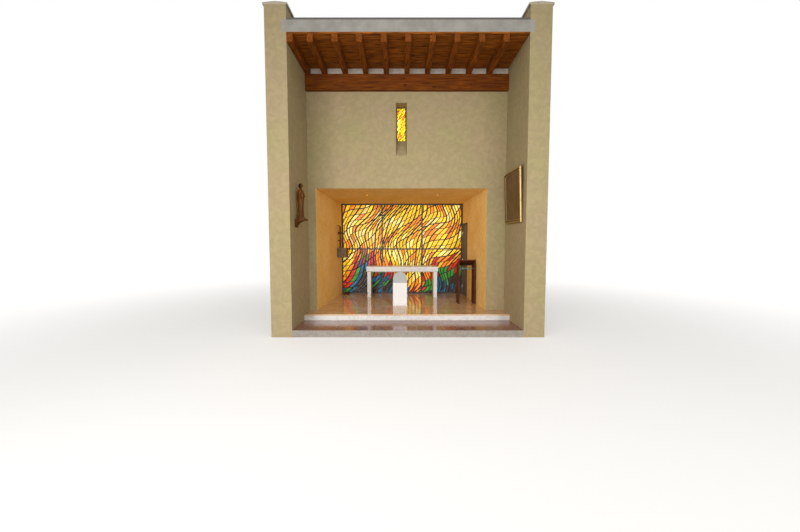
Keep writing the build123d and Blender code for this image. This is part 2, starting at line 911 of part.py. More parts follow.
with BuildPart() as lectern:
    with BuildSketch(Plane.YZ.offset(lectern_x - lectern_width / 2)):
        with BuildLine():
            Polyline(
                (lectern_front, platform_level),
                (lectern_front, desk_low + lectern_rise),
                (lectern_back, desk_low),
                (lectern_back, platform_level),
                close=True,
            )
        make_face()
    extrude(amount=lectern_width)
    with BuildSketch(Plane.YZ.offset(lectern_x - lectern_inside / 2)):
        with Locations((lectern_front - lectern_board, platform_level)):
            Rectangle(lectern_depth + 2 * lectern_board, lectern_height, align=Align.MIN)
    extrude(amount=lectern_inside, mode=Mode.SUBTRACT)
    with BuildSketch(Plane.YZ.offset(lectern_x - lectern_width / 2)):
        with BuildLine():
            Polyline(
                (lectern_front, desk_low + lectern_rise),
                (lectern_front, desk_low + lectern_rise + lectern_board),
                (lectern_back, desk_low + lectern_board),
                (lectern_back, desk_low + lectern_board + lectern_ledge),
                (lectern_back + lectern_ledge, desk_low + lectern_board + lectern_ledge),
                (lectern_back + lectern_ledge, desk_low),
                (lectern_back, desk_low),
                close=True,
            )
        make_face()
    extrude(amount=lectern_width)

lectern.part.label = "lectern"
export_step(lectern.part, "parts/lectern.step")

with BuildPart() as lectern_shelf:
    with BuildSketch(Plane.XY.offset(platform_level + lectern_shelf_height - shelf_thickness)):
        with Locations((lectern_x, lectern_front)):
            Rectangle(lectern_inside, lectern_depth, align=(Align.CENTER, Align.MIN))
    extrude(amount=shelf_thickness)

lectern_shelf.part.label = "lectern_shelf"
export_step(lectern_shelf.part, "parts/lectern_shelf.step")

# Low display stand before the altar: a slab on a foot, with a round-topped back panel
stand_y = face + stand_distance
stand_x = recess_centre + stand_offset

with BuildPart() as display_stand:
    with BuildSketch(Plane.XY.offset(platform_level)):
        with Locations((stand_x, stand_y)):
            Rectangle(stand_width, stand_foot_depth)
    extrude(amount=stand_foot_height)
    with BuildSketch(Plane.XY.offset(platform_level + stand_foot_height)):
        with Locations((stand_x, stand_y)):
            Rectangle(stand_width, stand_thickness)
    extrude(amount=stand_height - stand_foot_height)

display_stand.part.label = "display_stand"
export_step(display_stand.part, "parts/display_stand.step")

with BuildPart() as display_panel:
    with BuildSketch(Plane.XZ.offset(-stand_y - stand_thickness / 2)):
        with BuildLine():
            panel_foot = platform_level + stand_foot_height
            spring_height = platform_level + stand_panel_height - stand_width / 2
            foot_left = (stand_x - stand_width / 2, panel_foot)
            spring_left = (stand_x - stand_width / 2, spring_height)
            spring_right = (stand_x + stand_width / 2, spring_height)
            foot_right = (stand_x + stand_width / 2, panel_foot)
            Polyline(spring_right, foot_right, foot_left, spring_left)
            ThreePointArc(spring_left, (stand_x, platform_level + stand_panel_height), spring_right)
        make_face()
    extrude(amount=-stand_panel_thickness)

display_panel.part.label = "display_panel"
export_step(display_panel.part, "parts/display_panel.step")

# Downlights: rings on the recess soffit, two in front and one behind
lamp_places = (
    (recess_centre - lamp_spacing / 2, front_lamp_distance),
    (recess_centre + lamp_spacing / 2, front_lamp_distance),
    (recess_centre, rear_lamp_distance),
)

with BuildPart() as downlights:
    with BuildSketch(soffit_plane):
        with Locations(*lamp_places):
            Circle(lamp_radius)
    extrude(amount=-lamp_depth)
    with BuildSketch(soffit_plane.offset(-lamp_depth)):
        with Locations(*lamp_places):
            Circle(lamp_bore_radius)
    extrude(amount=lamp_bore_depth, mode=Mode.SUBTRACT)

downlights.part.label = "downlights"
export_step(downlights.part, "parts/downlights.step")

# Carved statue on a moulded bracket on the left side wall
statue_y = face - statue_distance
statue_foot = floor_level + statue_base_height
statue_x = -half_nave + statue_standoff + statue_body_depth / 2
neck_height = statue_height - 2 * statue_head_radius + statue_neck_overlap

with BuildPart() as statue_bracket:
    with BuildSketch(Plane.XZ.offset(-statue_y - bracket_width / 2)):
        with BuildLine():
            wall_x = -half_nave
            scroll_depth = bracket_depth - bracket_shelf
            Polyline(
                (wall_x, statue_foot - bracket_height),
                (wall_x, statue_foot),
                (wall_x + bracket_depth, statue_foot),
                (wall_x + bracket_depth, statue_foot - bracket_shelf),
                (wall_x + scroll_depth, statue_foot - bracket_shelf),
            )
            EllipticalCenterArc(
                (wall_x + scroll_depth, statue_foot - bracket_height),
                scroll_depth,
                bracket_height - bracket_shelf,
                start_angle=90,
                arc_size=90,
            )
        make_face()
    extrude(amount=bracket_width)

statue_bracket.part.label = "statue_bracket"
export_step(statue_bracket.part, "parts/statue_bracket.step")

# Robe sections: height as a share of the neck height, then depth and width as shares
robe_sections = (
    (0.00, 0.96, 0.94),
    (0.04, 0.96, 0.94),
    (0.06, 0.82, 0.80),
    (0.38, 0.78, 0.72),
    (0.58, 0.86, 0.80),
    (0.74, 0.90, 0.92),
    (0.86, 0.80, 1.00),
    (0.92, 0.66, 0.84),
    (0.955, 0.46, 0.46),
    (1.00, 0.36, 0.30),
)
hands_reach = statue_body_depth / 2 - statue_sleeve_radius / 2

with BuildPart() as statue:
    for share, deep, wide in robe_sections:
        with BuildSketch(Plane.XY.offset(statue_foot + share * neck_height)):
            with BuildLine():
                turns = [2 * math.pi * n / robe_sides for n in range(robe_sides)]
                Polyline(
                    [
                        (
                            statue_x + deep * statue_body_depth / 2 * math.cos(turn),
                            statue_y + wide * statue_width / 2 * math.sin(turn),
                        )
                        for turn in turns
                    ],
                    close=True,
                )
            make_face()
    loft(ruled=True)
    # Forearms folded from the elbows to joined hands at the breast
    for side in (-1, 1):
        elbow = Vector(statue_x, statue_y + side * statue_elbow_spread, statue_foot + statue_elbow_height)
        hands = Vector(statue_x + hands_reach, statue_y, statue_foot + statue_hands_height)
        with BuildSketch(Plane(origin=elbow, z_dir=hands - elbow)):
            RegularPolygon(statue_sleeve_radius, sleeve_sides)
        extrude(amount=(hands - elbow).length)
    with Locations((statue_x, statue_y, statue_foot + statue_height - statue_head_radius)):
        Sphere(statue_head_radius)

statue.part.label = "statue"
export_step(statue.part, "parts/statue.step")

# Framed picture on the right side wall, leaning out from its lower edge
picture_plane = Plane(
    origin=(half_nave, face - picture_distance, floor_level + picture_base_height),
    x_dir=(0, -1, 0),
    z_dir=(-math.cos(math.radians(picture_lean)), 0, -math.sin(math.radians(picture_lean))),
)
sight_width = picture_width - 2 * frame_moulding
sight_height = picture_height - 2 * frame_moulding

with BuildPart() as picture_panel:
    with BuildSketch(picture_plane.offset(frame_moulding_depth / 4)):
        with Locations((0, frame_moulding - frame_rabbet)):
            Rectangle(
                sight_width + 2 * frame_rabbet,
                sight_height + 2 * frame_rabbet,
                align=(Align.CENTER, Align.MIN),
            )
    extrude(amount=picture_thickness)

picture_panel.part.label = "picture_panel"
export_step(picture_panel.part, "parts/picture_panel.step")

with BuildPart() as picture_frame:
    with BuildSketch(picture_plane):
        Rectangle(picture_width, picture_height, align=(Align.CENTER, Align.MIN))
    with BuildSketch(picture_plane.offset(frame_moulding_depth)):
        with Locations((0, frame_moulding / 4)):
            Rectangle(
                picture_width - frame_moulding / 2,
                picture_height - frame_moulding / 2,
                align=(Align.CENTER, Align.MIN),
            )
    loft()
    with BuildSketch(picture_plane):
        with Locations((0, frame_moulding)):
            Rectangle(sight_width, sight_height, align=(Align.CENTER, Align.MIN))
    with BuildSketch(picture_plane.offset(frame_moulding_depth)):
        with Locations((0, frame_moulding * 0.7)):
            Rectangle(
                picture_width - 1.4 * frame_moulding,
                picture_height - 1.4 * frame_moulding,
                align=(Align.CENTER, Align.MIN),
            )
    loft(mode=Mode.SUBTRACT)
    add(picture_panel.part, mode=Mode.SUBTRACT)

picture_frame.part.label = "picture_frame"
export_step(picture_frame.part, "parts/picture_frame.step")
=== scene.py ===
import math
from functools import partial

import bmesh
import bpy
import numpy as np
from bpy.props import FloatProperty, FloatVectorProperty, IntProperty, PointerProperty
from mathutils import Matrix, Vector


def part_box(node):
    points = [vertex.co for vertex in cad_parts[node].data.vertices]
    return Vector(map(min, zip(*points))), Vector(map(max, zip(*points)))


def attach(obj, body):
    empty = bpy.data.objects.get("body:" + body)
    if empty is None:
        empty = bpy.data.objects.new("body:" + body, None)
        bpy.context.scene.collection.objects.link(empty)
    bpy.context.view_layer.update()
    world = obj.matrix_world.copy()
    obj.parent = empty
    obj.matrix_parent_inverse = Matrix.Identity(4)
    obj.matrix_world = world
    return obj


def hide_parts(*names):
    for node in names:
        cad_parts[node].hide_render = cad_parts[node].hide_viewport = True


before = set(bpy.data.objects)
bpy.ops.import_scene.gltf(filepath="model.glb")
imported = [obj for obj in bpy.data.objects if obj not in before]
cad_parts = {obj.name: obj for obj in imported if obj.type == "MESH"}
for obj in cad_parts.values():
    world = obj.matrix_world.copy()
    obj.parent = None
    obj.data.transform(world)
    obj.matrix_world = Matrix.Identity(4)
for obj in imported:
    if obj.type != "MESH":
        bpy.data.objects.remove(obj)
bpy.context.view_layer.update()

bl_info = {
    "name": "Chapel Altar End",
    "version": (1, 0, 0),
    "blender": (4, 5, 0),
    "location": "3D View > Sidebar > Chapel",
    "description": "Finishes and fine pieces for the altar end of a small chapel",
    "category": "Object",
}

FIXED = "chapel_end"
TURN = 2 * math.pi
# The joists carry the boards' ends: their number, the first middle from the boards' edge, and their step
JOISTS, FIRST_JOIST, JOIST_STEP = 10, 0.061, 0.505


def linear(text):
    """Linear RGBA of an sRGB hex colour: c / 12.92 near black, else ((c + 0.055) / 1.055) ** 2.4."""
    c = np.array([int(text[n : n + 2], 16) for n in (1, 3, 5)]) / 255
    c = np.where(c <= 0.04045, c / 12.92, ((c + 0.055) / 1.055) ** 2.4)
    return (*(float(v) for v in c), 1.0)


def colour(name, text, about):
    """A colour setting whose default is a hex colour."""
    sort = {"size": 4, "subtype": "COLOR", "min": 0, "max": 1}
    return FloatVectorProperty(name=name, description=about, default=linear(text), **sort)


def amount(name, value, about, **sort):
    """A plain number setting."""
    return FloatProperty(name=name, description=about, default=value, min=0, **sort)


def length(name, metres, about):
    """A length setting in metres."""
    return amount(name, metres, about, unit="LENGTH")


class ShellSettings(bpy.types.PropertyGroup):
    stucco: colour("Stucco", "#A7996F", "Olive-beige ground of the stucco on the nave walls")
    stucco_warm: colour("Stucco, warm patches", "#AA9774", "Pinker patches where the stucco dried faster")
    # The recess colours are partly painted light: an apricot limewash, deepened to stand in for the warm
    # light of the coloured window.
    recess: colour("Recess plaster", "#F7D184", "Apricot limewash in the altar recess")
    recess_warm: colour("Recess plaster, deep patches", "#F1C36C", "Deeper patches in the recess limewash")
    coping_length: length("Coping length", 1.0, "Length of one sandstone coping block")
    seam_spacing: length("Seam spacing", 0.58, "Distance between the standing seams of the zinc roof")
    seam_height: length("Seam height", 0.025, "How far a standing seam rises from the zinc")


class FloorSettings(bpy.types.PropertyGroup):
    granite: colour("Granite", "#936456", "Ground of the granite nave tiles")
    platform: colour("Platform stone", "#D8AD7B", "Ground of the polished platform stone")
    tile_width: length("Tile width", 0.30, "Granite tile size across the nave")
    tile_length: length("Tile length", 0.60, "Granite tile size along the nave")
    tile_joint: length("Tile joint", 0.003, "Width of the joints between granite tiles")


class CeilingSettings(bpy.types.PropertyGroup):
    plate_stain: colour("Wall plate stain", "#8C4A12", "Stained wall plate between its dark growth lines")
    joist_stain: colour("Joist stain", "#A0591A", "Stained joists between their dark growth lines")
    board_stain: colour("Board stain", "#C47322", "Stained ceiling boards between their growth lines")
    dark: colour("Dark grain", "#4F2406", "Dark growth lines and knots of the timber")
    board_width: length("Board width", 0.120, "Face width of a ceiling board")
    board_gap: length("Board gap", 0.007, "Open joint between two ceiling boards, drawn wide to show")


class GlassSettings(bpy.types.PropertyGroup):
    shard_width: length("Shard width", 0.135, "Mean distance between steep lead lines")
    shard_length: length("Shard length", 0.27, "Mean distance between the lines that cross the steep ones")
    swing: length("Swing", 0.17, "How far the lead lines swing out of their straight run")
    screw_spacing: length("Screw spacing", 0.30, "Distance between the screws along a glazing bar")
    lead_width: length("Lead width", 0.032, "Mean face width of the rising lead lines")
    # Both glows are painted light: the glass emits its own colour, standing in for daylight and sun behind
    # it.
    glow: amount("Glow", 0.62, "How far daylight makes the window glow")
    slot_glow: amount("Slot glow", 1.75, "How far the sun makes the slot glow")
    gold: colour("Gold", "#F7C81E", "Gold glass")
    straw: colour("Straw", "#F9E07C", "Pale straw glass")
    amber: colour("Amber", "#EC8A0E", "Amber glass")
    ruby: colour("Ruby", "#BE2A10", "Ruby glass")
    leaf: colour("Leaf", "#3C8A2C", "Leaf-green glass")
    water: colour("Water", "#1D5C7C", "Blue-grey glass")
    smoke: colour("Smoke", "#37271C", "Smoke-brown glass")


class CarvingSettings(bpy.types.PropertyGroup):
    wood: colour("Carved wood", "#7F4B10", "Oiled wood of the statue and its bracket")
    gilt: colour("Gilding", "#BFA468", "Gold leaf on the picture frame's raised edges")
    lean: amount("Picture lean", math.radians(2), "How far the picture leans off the wall", unit="ROTATION")
    fold_depth: length("Fold depth", 0.015, "Depth of the robe's folds at the hem")
    folds: IntProperty(name="Folds", description="Number of folds around the hem", default=9, min=5)


class StageSettings(bpy.types.PropertyGroup):
    floor: colour("Floor", "#DCDAD6", "Pale floor under the piece")
    lift: amount("Floor lift", 0.34, "How much paler the camera sees the floor near the piece")
    far_lift: amount("Far floor lift", 0.62, "How much paler the camera sees the floor far off")
    lamp: amount("Lamp power", 190, "Power of the main soft lamp")
    sky: amount("Sky", 0.58, "Strength of the even light from all round")
    lens: amount("Lens", 17.01, "Focal length of the camera", unit="CAMERA")


def feed(node, sockets):
    """Gives a node's sockets a value or a link; a node as a value stands for its first output in use."""
    for key, value in sockets.items():
        if isinstance(value, bpy.types.Node):
            value = next(output for output in value.outputs if output.enabled)
        if isinstance(value, bpy.types.NodeSocket):
            node.id_data.links.new(value, node.inputs[key])
        else:
            node.inputs[key].default_value = value


def add(tree, kind, sockets={}, **settings):
    """Adds one shader node with its settings, values and links."""
    node = tree.nodes.new("ShaderNode" + kind)
    for key, value in settings.items():
        setattr(node, key, value)
    feed(node, sockets)
    return node


def new_finish(name, sockets):
    """A new material, the function that adds nodes to it, its shader with the constant sockets set, and the
    place in metres."""
    finish = bpy.data.materials.new(name)
    finish.use_nodes = True
    shader = finish.node_tree.nodes["Principled BSDF"]
    feed(shader, sockets)
    node = partial(add, finish.node_tree)
    return finish, node, shader, node("TexCoord").outputs["Object"]


def patches(node, where, size, low=0.35, high=0.65, least=0.0, most=1.0, detail=4.0, warp=0.0, ease="LINEAR"):
    """Noise in patches of a real size in metres, its values from low to high spread from least to most."""
    noise = node("TexNoise", {"Vector": where, "Scale": 1 / size, "Detail": detail, "Distortion": warp})
    spread = {"Value": noise, "From Min": low, "From Max": high, "To Min": least, "To Max": most}
    return node("MapRange", spread, interpolation_type=ease)


def trowelled_stucco(name, ground, warm, limewash=None, low=None, high=None):
    # Lime stucco laid with a steel trowel in short turning strokes. It is matt and clouded in patches about
    # 1 m wide; the strokes leave faint paler commas 110 mm across, over a 3 mm sand grain drawn 6 mm coarse.
    finish, node, shader, where = new_finish(name, {"Roughness": 0.88, "Specular IOR Level": 0.3})
    turn = node("TexNoise", {"Vector": where, "Scale": 1 / 0.22, "Detail": 1.0})
    swept = node("VectorMath", {0: turn.outputs["Color"], 1: (0.3, 0.3, 0.3)}, operation="MULTIPLY")
    swept = node("VectorMath", {0: where, 1: swept}, operation="ADD")
    strokes = patches(node, swept, 0.11, 0.36, 0.68, 0.94, 1.06, ease="SMOOTHSTEP")
    cloud = patches(node, where, 1.0, detail=3.0)
    tone = node("Mix", {0: cloud, 6: ground, 7: warm}, data_type="RGBA")
    if limewash:
        # Inside the given box the stucco has the recess's apricot limewash, deepened with painted light that
        # stands in for the coloured window's warm glow, so its edge follows the arrises.
        place = node("SeparateXYZ", {0: where})
        inside = 1.0
        for n in range(3):
            middle, half = (low[n] + high[n]) / 2, (high[n] - low[n]) / 2
            between = node("Math", {0: place.outputs[n], 1: middle, 2: half}, operation="COMPARE")
            inside = node("Math", {0: between, 1: inside}, operation="MULTIPLY")
        wash_and_window_light = node("Mix", {0: cloud, 6: limewash[0], 7: limewash[1]}, data_type="RGBA")
        tone = node("Mix", {0: inside, 6: tone, 7: wash_and_window_light}, data_type="RGBA")
    tone = node("VectorMath", {0: tone, "Scale": strokes}, operation="SCALE")
    grain = node("TexNoise", {"Vector": where, "Scale": 1 / 0.006, "Detail": 2.0})
    relief = node("Math", {0: strokes, 1: 6.0, 2: grain}, operation="MULTIPLY_ADD")
    bump = node("Bump", {"Height": relief, "Strength": 0.35, "Distance": 0.0012})
    feed(shader, {"Base Color": tone, "Normal": bump})
    return finish


def stained_timber(name, along, pale, dark, mark=None, darkest=0.72, palest=1.2, rough=0.62, shine=0.1):
    # Timber whose stain or oil has sunk into the spring wood: growth lines about 12 mm apart run dark along
    # the piece, knots about 40 mm across break them, and the surface is silky and nearly without shine.
    finish, node, shader, where = new_finish(name, {"Roughness": rough, "Specular IOR Level": shine})
    if mark:
        marked = node("Attribute", attribute_name=mark)
    if mark == "board":
        # Each board is cut from another place in the timber, 37 m further on for a mark of 1.
        shift = node("VectorMath", {0: marked.outputs["Color"], 1: (37, 37, 37)}, operation="MULTIPLY")
        where = node("VectorMath", {0: where, 1: shift}, operation="ADD")
    grain_space, knot_space = [
        node("Mapping", {"Vector": where, "Scale": [drawn if axis == along else 1.0 for axis in "XYZ"]})
        for drawn in (0.07, 0.45)
    ]
    rings = patches(node, grain_space, 0.024, 0.32, 0.68, detail=5.0, warp=0.6)
    knots = node("TexVoronoi", {"Vector": knot_space, "Scale": 1 / 0.24, "Randomness": 1.0})
    near = {"Value": knots, "From Min": 0.05, "From Max": 0.15}
    knots = node("MapRange", near, interpolation_type="SMOOTHSTEP")
    weather = patches(node, where, 0.5, 0.0, 1.0, 0.55, 1.15, detail=2.0)
    share = node("Math", {0: rings, 1: knots}, operation="MULTIPLY")
    share = node("Math", {0: share, 1: weather}, operation="MULTIPLY", use_clamp=True)
    tone = node("Mix", {0: share, 6: dark, 7: pale}, data_type="RGBA")
    # A mark scales the tone: on the boards a random tone for each board; on the carving painted shade in the
    # folds, a painted highlight on the ridges, and the hair's real dark stain.
    if mark:
        shade = node("MapRange", {"Value": marked.outputs["Fac"], "To Min": darkest, "To Max": palest})
        tone = node("VectorMath", {0: tone, "Scale": shade}, operation="SCALE")
    bump = node("Bump", {"Height": share, "Strength": 0.4, "Distance": 0.0008})
    feed(shader, {"Base Color": tone, "Normal": bump})
    return finish


def polished_granite(name, ground):
    # Granite, sawn and polished: pink-brown feldspar with black mica and pale quartz grains. The 4 mm grains
    # are drawn 9 mm coarse to show, and the polish mirrors the window in them.
    finish, node, shader, where = new_finish(name, {"Roughness": 0.12, "Specular IOR Level": 0.6})
    grains = node("TexVoronoi", {"Vector": where, "Scale": 1 / 0.009})
    pick = node("SeparateColor", {0: grains.outputs["Color"]})
    tone = ground
    for chance, full, grain in ((pick.outputs[0], 0.92, "#4E3331"), (pick.outputs[1], 0.95, "#B08D80")):
        share = node("MapRange", {"Value": chance, "From Min": 0.70, "From Max": full})
        tone = node("Mix", {0: share, 6: tone, 7: linear(grain)}, data_type="RGBA")
    feed(shader, {"Base Color": tone})
    return finish


def polished_travertine(name, ground, outside=None):
    # Travertine, filled and polished, in slabs 900 by 600 mm with 3 mm joints: tan cloudy bands about 220 mm
    # wide, and a shine that takes the colours of the window. Past the given place along Y it is a rough
    # cement plinth, matt and grey.
    finish, node, shader, where = new_finish(name, {"Roughness": 0.10, "Specular IOR Level": 0.65})
    bands = node("Mapping", {"Vector": where, "Scale": (0.7, 1.0, 1.0)})
    cloud = patches(node, bands, 0.22, warp=0.4)
    tone = node("Mix", {0: cloud, 6: ground, 7: linear("#E4C297")}, data_type="RGBA")
    laid = {"Vector": where, "Scale": 1.0, "Brick Width": 0.9, "Row Height": 0.6}
    laid |= {"Mortar Size": 0.003, "Mortar Smooth": 0.1, "Mortar": (0.35, 0.3, 0.25, 1)}
    slabs = node("TexBrick", {"Color1": (1, 1, 1, 1), "Color2": (0.92, 0.92, 0.92, 1), **laid})
    tone = node("Mix", {0: 1.0, 6: tone, 7: slabs}, data_type="RGBA", blend_type="MULTIPLY")
    if outside:
        place = node("SeparateXYZ", {0: where})
        plinth = node("Math", {0: place.outputs["Y"], 1: outside}, operation="GREATER_THAN")
        cement = node("Mix", {0: cloud, 6: linear("#8E857B"), 7: linear("#9E968B")}, data_type="RGBA")
        tone = node("Mix", {0: plinth, 6: tone, 7: cement}, data_type="RGBA")
        feed(shader, {"Roughness": node("MapRange", {"Value": plinth, "To Min": 0.10, "To Max": 0.9})})
    feed(shader, {"Base Color": tone})
    return finish


def veined_marble(name, ground, vein, roughness):
    # White marble, sawn and polished: thin grey veins about 350 mm apart over a faintly cloudy white.
    finish, node, shader, where = new_finish(name, {"Roughness": roughness, "Specular IOR Level": 0.5})
    drift = node("TexNoise", {"Vector": where, "Scale": 1 / 0.35, "Detail": 5.0, "Distortion": 1.4})
    away = node("Math", {0: drift, 1: 0.5}, operation="SUBTRACT")
    away = node("Math", {0: away}, operation="ABSOLUTE")
    lines = node("MapRange", {"Value": away, "From Max": 0.045, "To Min": 0.35, "To Max": 0.0})
    tone = node("Mix", {0: lines, 6: linear(ground), 7: linear(vein)}, data_type="RGBA")
    feed(shader, {"Base Color": tone})
    return finish


def mottled(name, ground, second, size, rough, depth=0.0, **more):
    """A finish of two near colours in patches of a real size in metres, with a bump of a real depth, and with
    more constant sockets, named with _ for a space."""
    sockets = {key.replace("_", " "): value for key, value in more.items()}
    finish, node, shader, where = new_finish(name, {"Roughness": rough, **sockets})
    share = patches(node, where, size)
    tone = node("Mix", {0: share, 6: linear(ground), 7: linear(second)}, data_type="RGBA")
    feed(shader, {"Base Color": tone})
    if depth:
        feed(shader, {"Normal": node("Bump", {"Height": share, "Strength": 1.0, "Distance": depth})})
    return finish


def sawn_sandstone(name, along, block):
    # Sandstone, sawn and left rough by rain: warm grey with bedding patches about 120 mm wide and a 5 mm
    # grain, in blocks with 10 mm joints of darker mortar.
    finish, node, shader, where = new_finish(name, {"Roughness": 0.85})
    bedding = patches(node, where, 0.12)
    tone = node("Mix", {0: bedding, 6: linear("#A89C86"), 7: linear("#C0B59F")}, data_type="RGBA")
    place = node("SeparateXYZ", {0: where}).outputs[along]
    away = node("Math", {0: place, 1: block / 2}, operation="PINGPONG")
    joint = node("Math", {0: away, 1: 0.005}, operation="LESS_THAN")
    tone = node("Mix", {0: joint, 6: tone, 7: linear("#7C7365")}, data_type="RGBA")
    grain = node("TexNoise", {"Vector": where, "Scale": 1 / 0.005, "Detail": 2.0})
    relief = node("Math", {0: joint, 1: -2.0, 2: grain}, operation="MULTIPLY_ADD")
    bump = node("Bump", {"Height": relief, "Strength": 0.7, "Distance": 0.001})
    feed(shader, {"Base Color": tone, "Normal": bump})
    return finish


def leaded_glass_finish(name, glow):
    # Mouth-blown glass, coloured in the melt and cut by hand: each piece has one colour, with streaks about
    # 40 mm wide and a rippled skin. Its room side has a painted glow: it emits its own colour, standing in
    # for the daylight behind it.
    sockets = {"Roughness": 0.2, "Specular IOR Level": 0.2, "Transmission Weight": 0.25}
    finish, node, shader, where = new_finish(name, {**sockets, "Emission Strength": glow})
    pane = node("Attribute", attribute_name="pane")
    streaks = node("TexNoise", {"Vector": where, "Scale": 1 / 0.04, "Detail": 2.0, "Distortion": 1.0})
    depth = node("MapRange", {"Value": streaks, "To Min": 0.62, "To Max": 1.28})
    tint = node("VectorMath", {0: pane.outputs["Color"], "Scale": depth}, operation="SCALE")
    # Painted glow: only the side that faces the room emits, as if daylight shone through from behind.
    facing = node("SeparateXYZ", {0: node("NewGeometry").outputs["Normal"]})
    room = node("MapRange", {"Value": facing.outputs["Y"], "From Min": -0.2, "From Max": -0.8})
    lit = node("VectorMath", {0: tint, "Scale": room}, operation="SCALE")
    bump = node("Bump", {"Height": streaks, "Strength": 0.5, "Distance": 0.001})
    feed(shader, {"Base Color": tint, "Emission Color": lit, "Normal": bump})
    return finish


def spots(x, y, z):
    """Points from x, y and z, each an array or one value for all."""
    return np.stack(np.broadcast_arrays(x, y, z), -1)


def node_points(node):
    """The points of a CAD node's mesh."""
    return np.array([v.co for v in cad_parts[node].data.vertices])


def panel_edges():
    """Where the window's panels begin and end, in turn, across the window and up it."""
    points = node_points("window_panels")
    return [np.unique(np.round(points[:, n], 3)) for n in (0, 2)]


def net(rows, columns, around=False):
    """Quads over a grid of rows by columns of points, closed round the columns if asked."""
    r, c = np.meshgrid(np.arange(rows - 1), np.arange(columns if around else columns - 1), indexing="ij")
    after = (c + 1) % columns
    corners = [r * columns + c, (r + 1) * columns + c, (r + 1) * columns + after, r * columns + after]
    return np.stack(corners, -1).reshape(-1, 4)


def closed_rings(rows, columns):
    """Faces over rows of ringed points: the quads round them, and one face over each end."""
    ends = np.arange(columns) + np.array([[0], [(rows - 1) * columns]])
    return [net(rows, columns, around=True), ends]


def copies(faces, count, points_each):
    """The same arrays of faces once for each of many copies of a set of points."""
    shift = (np.arange(count) * points_each)[:, None, None]
    return [(f + shift).reshape(-1, f.shape[1]) for f in faces]


def put(name, data):
    """A new object in the scene."""
    made = bpy.data.objects.new(name, data)
    bpy.context.scene.collection.objects.link(made)
    return made


def piece(name, points, faces, finish, slot, body=FIXED, smooth=True, weld=0.0, marks={}):
    """Makes one closed piece from arrays of points and faces, turns its faces outwards, and gives it a body.
    Its slot is not used. Marks are named colours, one for each point, that its finish reads."""
    faces = [np.asarray(f, np.int32) for f in faces]
    sizes = np.concatenate([np.full(len(f), f.shape[1], np.int32) for f in faces])
    corners = np.concatenate([f.ravel() for f in faces])
    mesh = bpy.data.meshes.new(name)
    points = np.asarray(points, np.float32).reshape(-1, 3)
    mesh.vertices.add(len(points))
    mesh.vertices.foreach_set("co", points.ravel())
    mesh.loops.add(len(corners))
    mesh.loops.foreach_set("vertex_index", corners)
    mesh.polygons.add(len(sizes))
    mesh.polygons.foreach_set("loop_start", np.concatenate([[0], np.cumsum(sizes)[:-1]]).astype(np.int32))
    for key, values in marks.items():
        layer = mesh.attributes.new(key, "FLOAT_COLOR", "POINT")
        layer.data.foreach_set("color", np.asarray(values, np.float32).ravel())
    mesh.update(calc_edges=True)
    mesh.validate()
    form = bmesh.new()
    form.from_mesh(mesh)
    if weld:
        bmesh.ops.remove_doubles(form, verts=form.verts, dist=weld)
    bmesh.ops.recalc_face_normals(form, faces=form.faces)
    form.to_mesh(mesh)
    form.free()
    mesh.polygons.foreach_set("use_smooth", np.full(len(mesh.polygons), smooth))
    if smooth:
        mesh.set_sharp_from_angle(angle=math.radians(40))
    mesh.materials.append(finish)
    made = put(name, mesh)
    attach(made, body)
    return made


def dress(finish, *nodes):
    """Gives CAD nodes a finish in every one of their material slots."""
    for node in nodes:
        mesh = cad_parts[node].data
        for n in range(len(mesh.materials)):
            mesh.materials[n] = finish


def chamfered_slabs(low, high, chamfer, up=True):
    """Slabs from arrays of low and high corners, full size from the back to the arris and then drawn in by
    the chamfer."""
    inset = np.array([0, 0, chamfer])
    back, face = (low[:, 2], high[:, 2]) if up else (high[:, 2], low[:, 2])
    rise = np.stack([back, face - chamfer * (1 if up else -1), face], 1)
    sides = np.array([[0, 0], [1, 0], [1, 1], [0, 1]])
    span = high[:, None, None, :2] - low[:, None, None, :2] - 2 * inset[None, :, None, None]
    flat = low[:, None, None, :2] + inset[None, :, None, None] + sides[None, None] * span
    points = spots(flat[..., 0], flat[..., 1], rise[:, :, None])
    return points.reshape(-1, 3), copies(closed_rings(3, 4), len(low), 12)


def turned(profile, centre, sides=48):
    """A profile of (radius, height) turned about an upright axis: x and y are the radius by cos and sin."""
    radius, height = np.asarray(profile, float).T[..., None]
    angle = np.linspace(0, TURN, sides, endpoint=False)
    points = spots(radius * np.cos(angle), radius * np.sin(angle), height) + np.asarray(centre, float)
    return points, closed_rings(len(profile), sides)


def tubes(paths, ring, widths):
    """Carries a ring of (across, out) points along many flat paths in the window's plane, square to each path
    and widened by the path's own factor."""
    step = np.gradient(paths, axis=1)
    step /= np.maximum(np.linalg.norm(step, axis=-1, keepdims=True), 1e-9)
    across = np.stack([step[..., 1], -step[..., 0]], -1)
    flat = across[:, :, None] * ring[:, :1] * widths[:, None, None, None] + paths[:, :, None]
    points = spots(flat[..., 0], ring[:, 1], flat[..., 1])
    count, stations, around = points.shape[:3]
    return points.reshape(-1, 3), copies(closed_rings(stations, around), count, stations * around)


def lead_net(settings, scale, u, v):
    """Place in the window of the crossing of lead lines u and v: a skewed net, x = w u + 0.3 l v and
    z = 0.75 w u + l v for shards w wide and l long, pushed sideways and upwards by slow sine waves."""
    wide, long = settings.shard_width * scale, settings.shard_length * scale
    x = wide * u + 0.30 * long * v
    z = 0.75 * wide * u + long * v
    push_x = np.sin(TURN * z / 2.6 + 1.1 * x) + 0.35 * np.sin(TURN * z / 1.1 - 2.0 * x)
    push_z = np.sin(TURN * x / 2.9 + 0.8) + 0.30 * np.sin(TURN * x / 1.2 + 1.5 * z)
    return x + settings.swing * scale * push_x, z + settings.swing * scale * push_z


